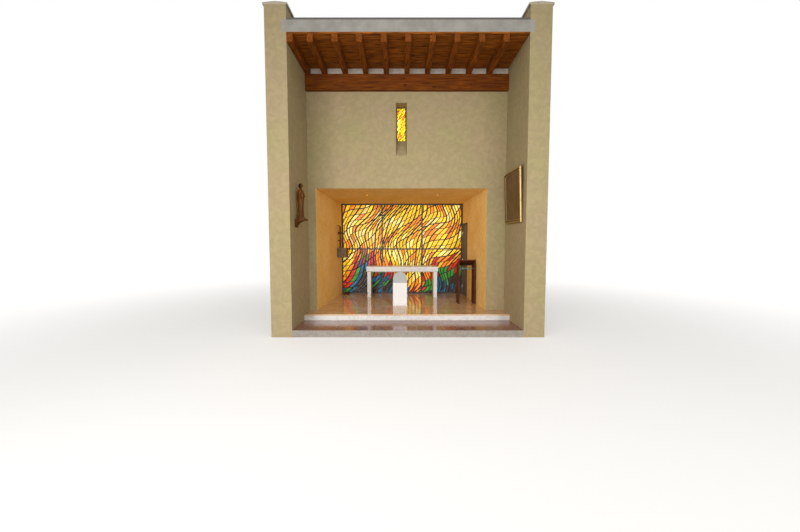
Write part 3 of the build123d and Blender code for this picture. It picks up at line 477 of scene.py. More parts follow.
def glass_colours(settings, x, z, low, high, chance):
    """Colour of each piece of glass: bands that rise from blue and green through ruby and amber to gold and
    straw. The band is the height as a share of the window, pushed by a slow wave across it and by chance."""
    bands = "smoke water leaf ruby amber gold straw gold amber gold straw gold amber gold".split()
    palette = np.array([tuple(getattr(settings, band)) for band in bands])
    share = (z - low[2]) / (high[2] - low[2])
    wave = 0.16 * np.sin(2.1 * x + 0.9) + 0.07 * np.sin(5.3 * x)
    band = (share + wave) * (len(palette) - 2) + 0.9 + 2.2 * (chance[..., 0] - 0.5)
    tone = palette[np.clip(band, 0, len(palette) - 1).astype(int)]
    tone = tone * (0.75 + 0.45 * chance[..., 1:2])
    tone[..., 3] = 1.0
    return np.clip(tone, 0, 1)


def lead_runs(settings, scale, low, high, fixed, running, steep):
    """The parts inside one light of the lead lines with the given fixed numbers, as paths of 40 points each,
    with the number of each. Of 600 places tried along a line, more than 12 have to be inside."""
    t = np.linspace(running[0], running[1], 600)
    line, along = np.meshgrid(fixed, t, indexing="ij")
    x, z = lead_net(settings, scale, *((line, along) if steep else (along, line)))
    inside = (x > low[0]) & (x < high[0]) & (z > low[2]) & (z < high[2])
    kept = inside.sum(1) > 12
    first, last = inside.argmax(1)[kept], len(t) - 1 - inside[:, ::-1].argmax(1)[kept]
    along = t[first][:, None] + (t[last] - t[first])[:, None] * np.linspace(0, 1, 40)
    line = np.broadcast_to(line[kept][:, :1], along.shape)
    x, z = lead_net(settings, scale, *((line, along) if steep else (along, line)))
    return np.stack([np.clip(x, low[0], high[0]), np.clip(z, low[2], high[2])], -1), fixed[kept]


def glass_shards(settings, scale, low, high, u, v, rng, window):
    """The pieces of glass of one light, as points, faces and a colour for each point.

    A piece is the net's surface between two whole numbers of u and of v, swelling to the room by
    16 a (1 - a) b (1 - b) of its two parameters a and b and tilted by chance, with every point held inside
    the light. Pieces under the least width or height are left out.
    """
    rows, columns = 4, 6
    thick, least, tilt = 0.0016, 0.004, 0.0012
    face = rows * columns
    a, b = np.meshgrid(np.linspace(0, 1, rows), np.linspace(0, 1, columns), indexing="ij")
    x, z = lead_net(settings, scale, u[:, None, None, None] + a, v[None, :, None, None] + b)
    x, z = x.reshape(-1, rows, columns), z.reshape(-1, rows, columns)
    middle_x, middle_z = x.mean((1, 2)), z.mean((1, 2))
    x, z = np.clip(x, low[0], high[0]), np.clip(z, low[2], high[2])
    inside = (np.ptp(x, axis=(1, 2)) > least) & (np.ptp(z, axis=(1, 2)) > least)
    x, z, count = x[inside], z[inside], int(inside.sum())
    swell = thick * 16 * a * (1 - a) * b * (1 - b)
    lean = rng.uniform(-tilt, tilt, (2, count, 1, 1))
    front = low[1] + thick + lean[0] * (a - 0.5) + lean[1] * (b - 0.5) - swell
    sheet = np.stack([spots(x, front, z), spots(x, high[1], z)], 1)
    panel, grid = net(rows, columns), np.arange(face).reshape(rows, columns)
    edge = np.concatenate([grid[:, 0], grid[-1, 1:], grid[-2::-1, -1], grid[0, -2:0:-1]])
    after = np.roll(edge, -1)
    rim = np.stack([edge, after, after + face, edge + face], -1)
    faces = copies([np.concatenate([panel, panel[:, ::-1] + face, rim])], count, 2 * face)
    chance = rng.uniform(0, 1, (count, 2))
    tint = glass_colours(settings, middle_x[inside], middle_z[inside], *window, chance)
    return sheet, faces, np.broadcast_to(tint[:, None], (count, 2 * face, 4))


def lead_lines(settings, scale, low, high, u, v):
    """The leads of one light, as points and faces: a flat oval carried along each line of the net, broad on
    every third line and narrower on the lines that cross the steep ones."""
    half, proud = settings.lead_width * scale / 2, 0.0045
    oval = [(-1, 0.0), (-0.7, -0.75), (0, -1.0), (0.7, -0.75), (1, 0.0), (1, 0.1), (0, 0.6), (-1, 0.1)]
    across, out = np.array(oval).T
    out = np.where(out <= 0, low[1], high[1]) + out * proud
    points, faces, made = [], [], 0
    for fixed, running, steep, share in ((u, v, True, 1.0), (v, u, False, 0.7)):
        paths, lines = lead_runs(settings, scale, low, high, fixed, (running[0], running[-1] + 1), steep)
        widths = np.where(lines % 3 == 0, 1.4, 0.85)
        lead, lead_faces = tubes(paths, np.stack([across * half * share, out], -1), widths)
        points.append(lead)
        faces += [f + made for f in lead_faces]
        made += len(lead)
    return np.concatenate(points), faces


def leaded_light(name, low, high, settings, glass, lead, window, seed, scale=1.0):
    """One glazed light: a piece of glass for every mesh of the lead net, and leads along its lines. The
    window is the two corners between which the colours' bands run."""
    wide, long = settings.shard_width * scale, settings.shard_length * scale
    skew = np.array([[wide, 0.30 * long], [0.75 * wide, long]])
    reach = 1.4 * settings.swing * scale
    corners = [(x, z) for x in (low[0] - reach, high[0] + reach) for z in (low[2] - reach, high[2] + reach)]
    lines = np.linalg.inv(skew) @ np.array(corners).T
    u, v = [np.arange(math.floor(n.min()), math.ceil(n.max())) for n in lines]
    rng = np.random.default_rng(seed)
    points, faces, tint = glass_shards(settings, scale, low, high, u, v, rng, window)
    panes = {"pane": tint}
    shards = piece(name + "_glass", points, faces, glass, "leaded_glass", smooth=False, marks=panes)
    piece(name + "_leads", *lead_lines(settings, scale, low, high, u, v), lead, "dark_steel")
    return shards


class FinishShell(bpy.types.Operator):
    """Finishes the walls, the recess, the roof and the copings"""

    bl_idname = "chapel.finish_shell"
    bl_label = "Shell"

    def execute(self, context):
        size = context.scene.chapel_shell
        grounds, limewash = (size.stucco, size.stucco_warm), (size.recess, size.recess_warm)
        dress(trowelled_stucco("Trowelled lime stucco", *grounds), "left_side_wall", "right_side_wall")
        # The apricot limewash with its painted window light starts 0.5 mm inside the room's arris of the
        # recess's opening, and ends at the window.
        wall_low, wall_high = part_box("end_wall_upper")
        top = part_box("end_wall_left_pier")[1].z + 0.01
        low, high = (wall_low.x, wall_low.y + 0.0005, 0), (wall_high.x, wall_high.y - 0.0005, top)
        end = trowelled_stucco("Trowelled lime stucco, limewashed reveals", *grounds, limewash, low, high)
        dress(end, "end_wall_left_pier", "end_wall_right_pier", "end_wall_upper")
        # The recess has the apricot limewash with its painted window light as far as the window, and its
        # outer faces haven't.
        slab_low, slab_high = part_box("recess_roof_slab")
        low = (slab_low.x + 0.08, wall_low.y, 0)
        high = (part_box("recess_right_wall")[1].x - 0.004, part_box("window_frame")[0].y, slab_high.z)
        apricot_and_window_light = trowelled_stucco("Apricot limewash on lime plaster", *grounds, limewash, low, high)
        dress(apricot_and_window_light, "recess_left_wall", "recess_right_wall", "wall_over_door", "recess_corner_pier")
        dress(apricot_and_window_light, "recess_roof_slab")
        # Cast concrete: grey, matt, with cloudy patches where it dried unevenly.
        dress(mottled("Cast concrete", "#928D85", "#A29D94", 0.22, 0.9, 0.0006), "roof_slab")
        # Lime mortar between the joists, floated by hand: off-white and slightly uneven.
        dress(mottled("Floated lime mortar", "#D3C8BA", "#E2D9CD", 0.09, 0.9, 0.0012), "joist_infill")
        sides = sawn_sandstone("Sawn sandstone, side copings", "Y", size.coping_length)
        dress(sides, "left_coping", "right_coping")
        dress(sawn_sandstone("Sawn sandstone, end coping", "X", size.coping_length), "end_coping")
        # Bitumen felt with slate chippings: dark grey with an 8 mm speckle, in 1 m rolls with 80 mm laps.
        felt = mottled("Slate-chipped bitumen felt", "#4E4D4B", "#77746E", 0.008, 0.95, 0.0012)
        dress(felt, "roof_covering")
        roll, lap = 1.0, 0.08
        low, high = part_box("roof_covering")
        starts = np.arange(low.y, high.y, roll)
        over = high.z + 0.005 + 0.003 * (np.arange(len(starts)) % 2)
        roll_low = spots(low.x + 0.01, starts + 0.005, high.z - 0.004)
        roll_high = spots(high.x - 0.01, np.minimum(starts + (roll + lap), high.y - 0.005), over)
        rolls = chamfered_slabs(roll_low, roll_high, 0.002)
        piece("felt_rolls", *rolls, felt, "roofing_felt", smooth=False)
        # Rolled zinc, weathered: a dull blue-grey metal with cloudy patina and standing seams.
        zinc = mottled("Weathered rolled zinc", "#848B8F", "#92999D", 0.3, 0.5, 0.0004, Metallic=1.0)
        dress(zinc, "recess_roof_sheet")
        low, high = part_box("recess_roof_sheet")
        sheet = node_points("recess_roof_sheet")
        eaves = sheet[sheet[:, 1] > high.y - 0.001, 2].max()
        fall = (high.z - eaves) / (high.y - low.y)
        count = round((high.x - low.x) / size.seam_spacing)
        edge, half = 0.03, 0.006
        across = np.linspace(low.x + edge, high.x - edge, count + 1)
        seam_low = spots(across - half, low.y + 0.002, high.z - 0.006)
        seam_high = spots(across + half, high.y - 0.006, high.z + size.seam_height)
        points, faces = chamfered_slabs(seam_low, seam_high, 0.004)
        points[:, 2] -= (points[:, 1] - low.y) * fall
        piece("zinc_seams", points, faces, zinc, "zinc", smooth=False)
        return {"FINISHED"}


class LayFloors(bpy.types.Operator):
    """Lays the granite tiles and finishes the platform and its riser"""

    bl_idname = "chapel.lay_floors"
    bl_label = "Floors"

    def execute(self, context):
        size = context.scene.chapel_floor
        # Cement screed, floated: plain grey, seen in the joints and at the cut edge.
        dress(mottled("Floated cement screed", "#8E857B", "#9E968B", 0.05, 0.9), "nave_floor")
        dress(polished_travertine("Polished travertine", size.platform), "platform_floor")
        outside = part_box("window_frame")[1].y
        stone = polished_travertine("Polished travertine on a cement plinth", size.platform, outside)
        dress(stone, "recess_floor")
        dress(veined_marble("White marble, polished", "#DCD8D2", "#A9A8A6", 0.14), "platform_riser")
        low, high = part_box("nave_floor")
        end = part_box("platform_riser")[0].y
        half = size.tile_joint / 2
        across = np.arange(math.ceil((high.x - low.x) / size.tile_width))
        along = np.arange(math.ceil((end - low.y) / size.tile_length))
        i, j = [n.ravel() for n in np.meshgrid(across, along)]
        left, back = low.x + i * size.tile_width, end - j * size.tile_length
        right, front = np.minimum(left + size.tile_width, high.x), np.maximum(back - size.tile_length, low.y)
        tile_low = spots(left + half, front + half, high.z - 0.008)
        tile_high = spots(right - half, back - half, high.z + 0.002)
        points, faces = chamfered_slabs(tile_low, tile_high, 0.0012)
        granite = polished_granite("Polished granite", size.granite)
        piece("granite_tiles", points, faces, granite, "granite", smooth=False)
        return {"FINISHED"}


class BoardCeiling(bpy.types.Operator):
    """Boards the ceiling over the joists and stains the timbers"""

    bl_idname = "chapel.board_ceiling"
    bl_label = "Ceiling"

    def execute(self, context):
        size = context.scene.chapel_ceiling
        # Chestnut, sawn and stained: silky from the saw, red-brown, with the grain along each piece.
        dress(stained_timber("Stained chestnut joists", "Y", size.joist_stain, size.dark), "ceiling_joists")
        dress(stained_timber("Stained chestnut wall plate", "X", size.plate_stain, size.dark), "wall_plate")
        low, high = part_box("ceiling_boards")
        pitch = size.board_width + size.board_gap
        rows = math.ceil((high.y - low.y) / pitch)
        rng = np.random.default_rng(11)
        joists = low.x + FIRST_JOIST + JOIST_STEP * np.arange(1, JOISTS)
        # A row has two joints or three, each on a joist.
        cuts = [sorted(rng.choice(joists, 2 + row % 2, replace=False)) for row in range(rows)]
        runs = [(a, b, row) for row, at in enumerate(cuts) for a, b in zip([low.x, *at], [*at, high.x])]
        start, stop, row = np.array(runs).T
        near = low.y + row * pitch
        board_low = spots(start + 0.001, near + size.board_gap / 2, low.z)
        board_high = spots(stop - 0.001, np.minimum(near + pitch, high.y) - size.board_gap / 2, high.z)
        points, faces = chamfered_slabs(board_low, board_high, 0.005, up=False)
        marks = {"board": np.repeat(rng.uniform(0, 1, (len(row), 1, 4)), 12, axis=1)}
        stain = stained_timber("Stained chestnut boards", "X", size.board_stain, size.dark, mark="board")
        boards = piece("ceiling_board_strips", points, faces, stain, "timber", smooth=False, marks=marks)
        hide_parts("ceiling_boards")
        return {"FINISHED"}


class GlazeWindows(bpy.types.Operator):
    """Glazes the window and the slot with leaded glass, and finishes their frames"""

    bl_idname = "chapel.glaze_windows"
    bl_label = "Leaded glass"

    def execute(self, context):
        size = context.scene.chapel_glass
        # Drawn lead, blackened: a dull near-black skin with a soft shine.
        lead = mottled("Blackened lead", "#1B1816", "#2A2622", 0.03, 0.45, 0.0004, Specular_IOR_Level=0.4)
        glass = leaded_glass_finish("Mouth-blown coloured glass", size.glow)
        # Rolled steel, painted dark bronze: satin, with faint brush marks.
        steel = mottled("Bronze-painted steel", "#2A211B", "#372C24", 0.05, 0.4, 0.0003)
        dress(steel, "window_frame", "slot_frame")
        low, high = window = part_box("window_panels")
        across, upwards = [edges.reshape(-1, 2) for edges in panel_edges()]
        for row, (bottom, top) in enumerate(upwards):
            for column, (left, right) in enumerate(across):
                near, far = (left, low.y, bottom), (right, high.y, top)
                name = f"window_light_{row}{column}"
                light = leaded_light(name, near, far, size, glass, lead, window, seed=20)
                if not row and not column:
                    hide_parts("window_panels")
        # The slot's net is small, and its colours are those of the middle of a window three times as tall.
        low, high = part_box("slot_glass")
        tall = high - low
        window = (low - tall * 0.9, high + tall)
        # The slot's glass has a stronger painted glow, which stands in for the sun shining through it.
        glass = leaded_glass_finish("Mouth-blown coloured glass, sunlit", size.slot_glow)
        light = leaded_light("slot_light", low, high, size, glass, lead, window, seed=5, scale=0.42)
        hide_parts("slot_glass")
        return {"FINISHED"}


class ScrewFrame(bpy.types.Operator):
    """Sets the domed screws that hold the window frame's glazing bars"""

    bl_idname = "chapel.screw_frame"
    bl_label = "Glazing screws"

    def execute(self, context):
        size = context.scene.chapel_glass
        low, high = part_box("window_frame")
        places = []
        for n, along, edges in zip((0, 2), (2, 0), panel_edges()):
            # A panel is let into the bars by the same depth all round, which gives the width of a bar.
            bar = 2 * (edges[0] - low[n]) - (edges[2] - edges[1])
            bars = [low[n] + bar / 2, *(edges[1:-1:2] + edges[2::2]) / 2, high[n] - bar / 2]
            reach = high[along] - low[along]
            count = round(reach / size.screw_spacing)
            stops = low[along] + (np.arange(count) + 0.5) * reach / count
            grid = np.stack(np.meshgrid(bars, stops, indexing="ij"), -1).reshape(-1, 2)
            places.append(grid if n < along else grid[:, ::-1])
        x, z = np.concatenate(places).T[..., None, None]
        # A dome: rings whose radius is a share of 5.5 mm, further and further out of the bar.
        radius = 0.0055 * np.array([1.0, 1.0, 0.85, 0.5, 0.08])[:, None]
        proud = np.array([-0.002, 0.0008, 0.0015, 0.0024, 0.0027])[:, None]
        rings, sides = len(radius), 12
        angle = np.linspace(0, TURN, sides, endpoint=False)
        points = spots(x + radius * np.cos(angle), low.y - proud, z + radius * np.sin(angle))
        faces = copies(closed_rings(rings, sides), len(points), rings * sides)
        # Steel, zinc-plated and dulled: mid grey with a soft metal shine.
        steel = mottled("Dulled zinc-plated steel", "#6E6A64", "#827E77", 0.004, 0.4, Metallic=1.0)
        piece("glazing_screws", points, faces, steel, "dark_steel")
        return {"FINISHED"}


class HangDoor(bpy.types.Operator):
    """Finishes the side door, its frame, hinges and handles"""

    bl_idname = "chapel.hang_door"
    bl_label = "Side door"

    def execute(self, context):
        # Oil paint on joinery, brushed: grey-brown, satin, with faint brush marks.
        satin = {"rough": 0.62, "depth": 0.0003, "Specular_IOR_Level": 0.15}
        dress(mottled("Grey-brown oil paint, brushed", "#68645F", "#726D68", 0.06, **satin), "side_door_leaf")
        dress(mottled("Dark oil paint, brushed", "#463C34", "#4F443B", 0.06, **satin), "side_door_frame")
        # Stainless steel, satin-ground: pale metal with a soft even sheen.
        metal = mottled("Satin stainless steel", "#B4B2AD", "#C3C1BC", 0.01, 0.32, Metallic=1.0)
        dress(metal, "side_door_handles", "door_hinge_pins", "door_hinge_barrels")
        return {"FINISHED"}


class FurnishRecess(bpy.types.Operator):
    """Finishes the altar and the fittings, and turns the candle stand and candle"""

    bl_idname = "chapel.furnish_recess"
    bl_label = "Fittings"

    def execute(self, context):
        dress(veined_marble("White marble, honed", "#E0E3E0", "#AEB2B1", 0.22), "altar_table", "altar_legs")
        # Pewter, cast and rubbed: a dull warm grey metal with small darker hollows.
        pewter = mottled("Cast pewter, rubbed", "#574836", "#7A6750", 0.03, 0.42, 0.0008, Metallic=1.0)
        dress(pewter, "tabernacle")
        # Walnut, planed and oiled: dark red-brown with fine upright grain.
        walnut = stained_timber("Oiled walnut", "Z", linear("#74402A"), linear("#3C1B0E"))
        dress(walnut, "wall_cross", "lectern")
        # Float glass 22 mm thick: clear, with a blue-green body that shows at its edges, clouded by hands.
        clear = {"Transmission_Weight": 0.85, "IOR": 1.5}
        dress(mottled("Blue-green float glass", "#7BC6BB", "#86CFC4", 0.06, 0.04, **clear), "lectern_shelf")
        # Board, painted white or grey with a roller: a fine 5 mm stipple.
        white = mottled("Rolled white paint on board", "#E4E2DF", "#EFEDEA", 0.005, 0.45, 0.0002)
        grey = mottled("Rolled grey paint on board", "#A8A9A8", "#B4B5B3", 0.005, 0.5, 0.0002)
        dress(white, "display_stand")
        dress(grey, "display_panel")
        low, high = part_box("candle_stand")
        tall = high.z - low.z
        middle = ((low.x + high.x) / 2, (low.y + high.y) / 2)
        # Radius and height of the foot and the knop, and then of the neck and the dish down from the top
        profile = [
            (0.0004, 0.0), (0.110, 0.0), (0.112, 0.004), (0.112, 0.010), (0.106, 0.014), (0.098, 0.018),
            (0.094, 0.026), (0.080, 0.034), (0.060, 0.046), (0.042, 0.062), (0.028, 0.078), (0.018, 0.090),
            (0.017, 0.098), (0.020, 0.104), (0.017, 0.110), (0.011, 0.118), (0.009, 0.14), (0.009, 0.60),
            (0.012, 0.61), (0.018, 0.625), (0.020, 0.64), (0.018, 0.655), (0.012, 0.67), (0.009, 0.68),
        ]
        dish = [
            (0.009, 0.06), (0.013, 0.05), (0.018, 0.042), (0.030, 0.030), (0.044, 0.016), (0.047, 0.010),
            (0.047, 0.004), (0.045, 0), (0.040, 0.001), (0.030, 0.004), (0.0004, 0.004),
        ]
        profile += [(r, tall - down) for r, down in dish]
        stand = piece("turned_candle_stand", *turned(profile, (*middle, low.z)), pewter, "pewter")
        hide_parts("candle_stand")
        low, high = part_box("altar_candle")
        tall, r = high.z - low.z, (high.x - low.x) / 2
        # Beeswax, dipped: cream, softly translucent and slightly uneven, with a melted hollow round the wick.
        soft = {"Subsurface_Weight": 0.3, "Subsurface_Scale": 0.01}
        wax = mottled("Dipped beeswax", "#EBDBB0", "#F2E4C0", 0.02, 0.4, 0.0004, **soft)
        rim = tall - 0.008
        profile = [
            (0.0004, 0.0), (r * 0.98, 0.0), (r, 0.003), (r, rim - 0.02), (r * 0.985, rim - 0.006),
            (r * 0.93, rim), (r * 0.84, rim - 0.001), (r * 0.66, rim - 0.006), (r * 0.40, rim - 0.009),
            (0.002, rim - 0.009), (0.0015, tall - 0.002), (0.0004, tall),
        ]
        candle = piece("dipped_candle", *turned(profile, (*middle, low.z), sides=40), wax, "wax")
        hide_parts("altar_candle")
        return {"FINISHED"}


class LightRecess(bpy.types.Operator):
    """Finishes the downlights' rings and sets their lit lenses"""

    bl_idname = "chapel.light_recess"
    bl_label = "Downlights"

    def execute(self, context):
        # Brass, spun and lacquered: warm yellow metal with a soft sheen.
        dress(mottled("Lacquered spun brass", "#B98F45", "#C79E55", 0.02, 0.35, Metallic=1.0), "downlights")
        # Opal glass, pressed and lit from behind: warm and even, with a faint ripple of the pressing.
        sockets = {"Base Color": linear("#F6E3BE"), "Roughness": 0.3, "Emission Color": linear("#FFC46A")}
        opal, node, shader, where = new_finish("Pressed opal glass, lit", sockets)
        feed(shader, {"Emission Strength": patches(node, where, 0.012, 0.0, 1.0, 1.0, 2.2, detail=2.0)})
        rings = node_points("downlights")
        rings = rings[np.argsort(rings[:, 0])]
        lamps = np.split(rings, np.flatnonzero(np.diff(rings[:, 0]) > 0.1) + 1)
        # A shallow dome that hangs down 3.5 mm at its middle, and follows the soffit's slope along Y
        profile = np.array(
            [(0.0004, -0.0035), (0.35, -0.003), (0.7, -0.0018), (1.0, 0.0), (1.0, 0.004), (0.0004, 0.004)]
        )
        domes, sides = [], 32
        for lamp in lamps:
            middle = (lamp.min(0) + lamp.max(0)) / 2
            radius = np.hypot(*(lamp - middle)[:, :2].T).min() - 0.001
            dome, faces = turned(profile * (radius, 1), middle, sides)
            top = lamp[np.abs(lamp[:, 2] - lamp[:, 2].max()) < 0.02]
            slope = np.polyfit(top[:, 1], top[:, 2], 1)[0]
            dome[..., 2] += (dome[..., 1] - middle[1]) * slope
            domes.append(dome)
        faces = copies(faces, len(domes), len(profile) * sides)
        piece("lamp_lenses", np.stack(domes), faces, opal, "lamp_metal")
        return {"FINISHED"}


def carved_figure(settings, foot, neck_height, depth, width):
    """The robe: an oval whose depth and width follow the height, with folds added as the softened size of a
    cosine of the angle and a drift with height, deepening to the hem. Its third array is painted light: 1, a
    painted highlight, on the ridges, falling to 0, painted shade, in the deepest folds."""
    rows, columns = 150, 240
    share = np.linspace(0.045, 1.0, rows)
    stations = [0.045, 0.12, 0.38, 0.58, 0.74, 0.86, 0.92, 0.955, 1.0]
    deep = np.interp(share, stations, [0.80, 0.76, 0.74, 0.82, 0.88, 0.80, 0.62, 0.40, 0.34])
    wide = np.interp(share, stations, [0.80, 0.74, 0.70, 0.79, 0.91, 0.98, 0.80, 0.42, 0.30])
    smooth = np.hanning(13) / np.hanning(13).sum()
    deep, wide = [np.convolve(np.pad(v, 6, "edge"), smooth, "valid") for v in (deep, wide)]
    angle = np.linspace(0, TURN, columns, endpoint=False)
    h, t = np.meshgrid(share, angle, indexing="ij")
    drift = 1.1 * np.sin(5.0 * h) + 0.6 * np.sin(11 * h + 2 * t)
    strength = settings.fold_depth * np.clip((0.80 - h) / 0.55, 0.06, 1) * (0.75 + 0.25 * np.cos(2 * t))
    ridge = np.sqrt(np.cos(settings.folds * t / 2 + drift) ** 2 + 0.02) / math.sqrt(1.02)
    fold = strength * (ridge - 0.75)
    # The mantle's two edges stand 6 mm proud and part more and more towards the hem.
    off_front = np.abs(((t + math.pi) % TURN) - math.pi)
    mantle = 0.006 * np.exp(-(((off_front - (0.35 + 1.0 * (1 - h))) / 0.10) ** 2)) * (h < 0.9)
    x = foot[0] + (deep[:, None] * depth / 2 + fold + mantle) * np.cos(t)
    y = foot[1] + (wide[:, None] * width / 2 + fold + mantle) * np.sin(t)
    # Painted light: pale is a painted highlight on the ridges and painted shade in the folds.
    pale = 1 - (1 - ridge) * np.clip(1.6 * strength / settings.fold_depth, 0.4, 1)
    return spots(x, y, foot[2] + h * neck_height), closed_rings(rows, columns), pale


def carved_head(centre, half):
    """The head: an ellipsoid over longitude and latitude, looking along X, moved in and out along its own
    radius by bell curves for brow, eyes, nose, lips and chin, and by waves for the combed hair. Its third
    array is 1 on the face and near 0 on the hair."""
    rows, columns = 96, 80
    top = math.pi / 2 - 0.02
    angles = np.linspace(0, TURN, rows, endpoint=False), np.linspace(-top, top, columns)
    long, lat = np.meshgrid(*angles, indexing="ij")
    side = (long + math.pi) % TURN - math.pi

    def bell(at_side, at_lat, wide, tall):
        """A bell curve about a place on the middle of the face, or about one on each side of it."""
        rise = ((lat - at_lat) / tall) ** 2
        return sum(np.exp(-(((side - place) / wide) ** 2) - rise) for place in {at_side, -at_side})

    push = 0.0095 * bell(0, -0.02, 0.13, 0.20) + 0.0035 * bell(0, -0.14, 0.20, 0.09)
    push += 0.0028 * bell(0.36, 0.26, 0.24, 0.08)
    push -= 0.0042 * bell(0.36, 0.12, 0.17, 0.10)
    push += 0.0022 * bell(0.36, 0.10, 0.11, 0.05)
    push += 0.0030 * (bell(0, -0.37, 0.20, 0.045) + bell(0, -0.46, 0.16, 0.05))
    push -= 0.0016 * bell(0, -0.415, 0.22, 0.02)
    push += 0.0045 * bell(0, -0.80, 0.30, 0.16) - 0.002 * bell(0, -0.60, 0.25, 0.06)
    hair = 1 / (1 + np.exp(-(np.maximum(np.abs(side) - 1.05, lat - 0.66) / 0.06)))
    strands = 0.0010 * np.cos(34 * lat + 5 * np.cos(3 * side)) * np.cos(lat)
    push += hair * (0.0045 + strands)
    ray = spots(np.cos(lat) * np.cos(long), np.cos(lat) * np.sin(long), np.sin(lat))
    jaw = 1 - 0.16 * np.clip(-np.sin(lat), 0, 1) ** 1.5
    points = centre + ray * np.array(half) * spots(jaw, jaw, 1.0) + ray * push[..., None]
    count = rows * columns
    ends = np.stack([np.arange(0, count, columns), np.arange(columns - 1, count, columns)])
    return points, [net(rows + 1, columns) % count, ends], 1 - 0.85 * hair


def limb(start, stop, radii, sag):
    """A tube from start to stop whose radius follows the given values, closed at both ends, hanging by a sine
    of its length."""
    sides, steps = 20, 24
    t = np.linspace(0, 1, steps)
    axis = (stop - start) / np.linalg.norm(stop - start)
    side = np.cross(axis, (0, 0, 1.0))
    side /= np.linalg.norm(side)
    up = np.cross(side, axis)
    radius = np.interp(t, np.linspace(0, 1, len(radii)), radii)
    angle = np.linspace(0, TURN, sides, endpoint=False)
    ring = np.cos(angle)[:, None] * side + np.sin(angle)[:, None] * up
    line = start + t[:, None] * (stop - start) - np.outer(np.sin(math.pi * t) * sag, (0, 0, 1))
    return line[:, None] + radius[:, None, None] * ring[None], closed_rings(steps, sides)


class CarveStatue(bpy.types.Operator):
    """Carves the statue on the left wall and finishes its bracket"""

    bl_idname = "chapel.carve_statue"
    bl_label = "Statue"

    def execute(self, context):
        size = context.scene.chapel_carving
        # Limewood, planed and oiled: warm brown with upright grain.
        dress(stained_timber("Oiled limewood, planed", "Z", size.wood, linear("#38200A")), "statue_bracket")
        # Limewood, carved with gouges and oiled: the hair is stained dark, the folds are darkened with
        # painted shade, and the ridges are given a painted highlight, pale and satin.
        rubbed = {"mark": "hollow", "darkest": 0.02, "palest": 1.25, "rough": 0.42, "shine": 0.14}
        wood = stained_timber("Oiled limewood, carved", "Z", size.wood, linear("#4E2C0C"), **rubbed)
        low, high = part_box("statue")
        foot = np.array([(low.x + high.x) / 2 - 0.004, (low.y + high.y) / 2, low.z])
        # The neck and the middle of the head, from the foot, and half the head's depth, width and height
        neck, face = high.z - low.z - 0.094, high.z - low.z - 0.054
        half_head = (0.046, 0.040, 0.0535)
        parts = [carved_figure(size, foot, neck, depth=0.166, width=0.208)]
        parts.append(carved_head(foot + (0.004, 0, face), half_head))
        # Places on an arm, from the foot, and then its parts: the forearm, the hand and the upper arm
        shoulder, elbow, wrist = (0.002, 0.074, 0.585), (0.010, 0.086, 0.452), (0.068, 0.016, 0.512)
        palm, tips = (0.068, 0.012, 0.505), (0.076, 0.005, 0.575)
        arm = (
            (elbow, wrist, [0.020, 0.026, 0.025, 0.024, 0.030], 0.006),
            (palm, tips, [0.011, 0.0125, 0.0115, 0.009, 0.004], 0.0),
            (shoulder, elbow, [0.024, 0.028, 0.027, 0.024], 0.0),
        )
        for side in (-1, 1):
            for start, stop, radii, sag in arm:
                ends = [foot + np.array(end) * (1, side, 1) for end in (start, stop)]
                parts.append(limb(*ends, radii, sag))
        block = (foot - (0.080, 0.098, 0))[None], (foot + (0.082, 0.098, 0.034))[None]
        parts.append(chamfered_slabs(*block, 0.004))
        points, faces, hollow, count = [], [], [], 0
        for shape, shape_faces, *pale in parts:
            points.append(shape.reshape(-1, 3))
            hollow.append(pale[0].ravel() if pale else np.full(len(points[-1]), 0.6))
            faces += [f + count for f in shape_faces]
            count += len(points[-1])
        marks = {"hollow": np.repeat(np.concatenate(hollow)[:, None], 4, axis=1)}
        carved = piece("carved_statue", np.concatenate(points), faces, wood, "carved_wood", marks=marks)
        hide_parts("statue")
        return {"FINISHED"}


def mitred_frame(centre, along, up, out, size, profile, ripple):
    """A moulding carried round a rectangle: each side is its profile drawn out to half the side less the
    profile's own distance in, which mitres the corners. Where the profile's third value is 1 it ripples by
    cos of the length, 26 mm from crest to crest."""
    inward, proud, carved = profile.T
    steps = 121
    t = np.linspace(-1, 1, steps)[:, None]
    sides = []
    turns = ((along, up, *size), (up, -along, *size[::-1]), (-along, -up, *size), (-up, along, *size[::-1]))
    for way, down, long, deep in turns:
        run = t * (long / 2 - inward)
        rise = proud + carved * ripple * (0.5 + 0.5 * np.cos(TURN * run / 0.026))
        flat = run[..., None] * way - (deep / 2 - inward)[:, None] * down
        sides.append(centre + flat + rise[..., None] * out)
    return np.stack(sides), copies([net(steps, len(profile), around=True)], 4, steps * len(profile))


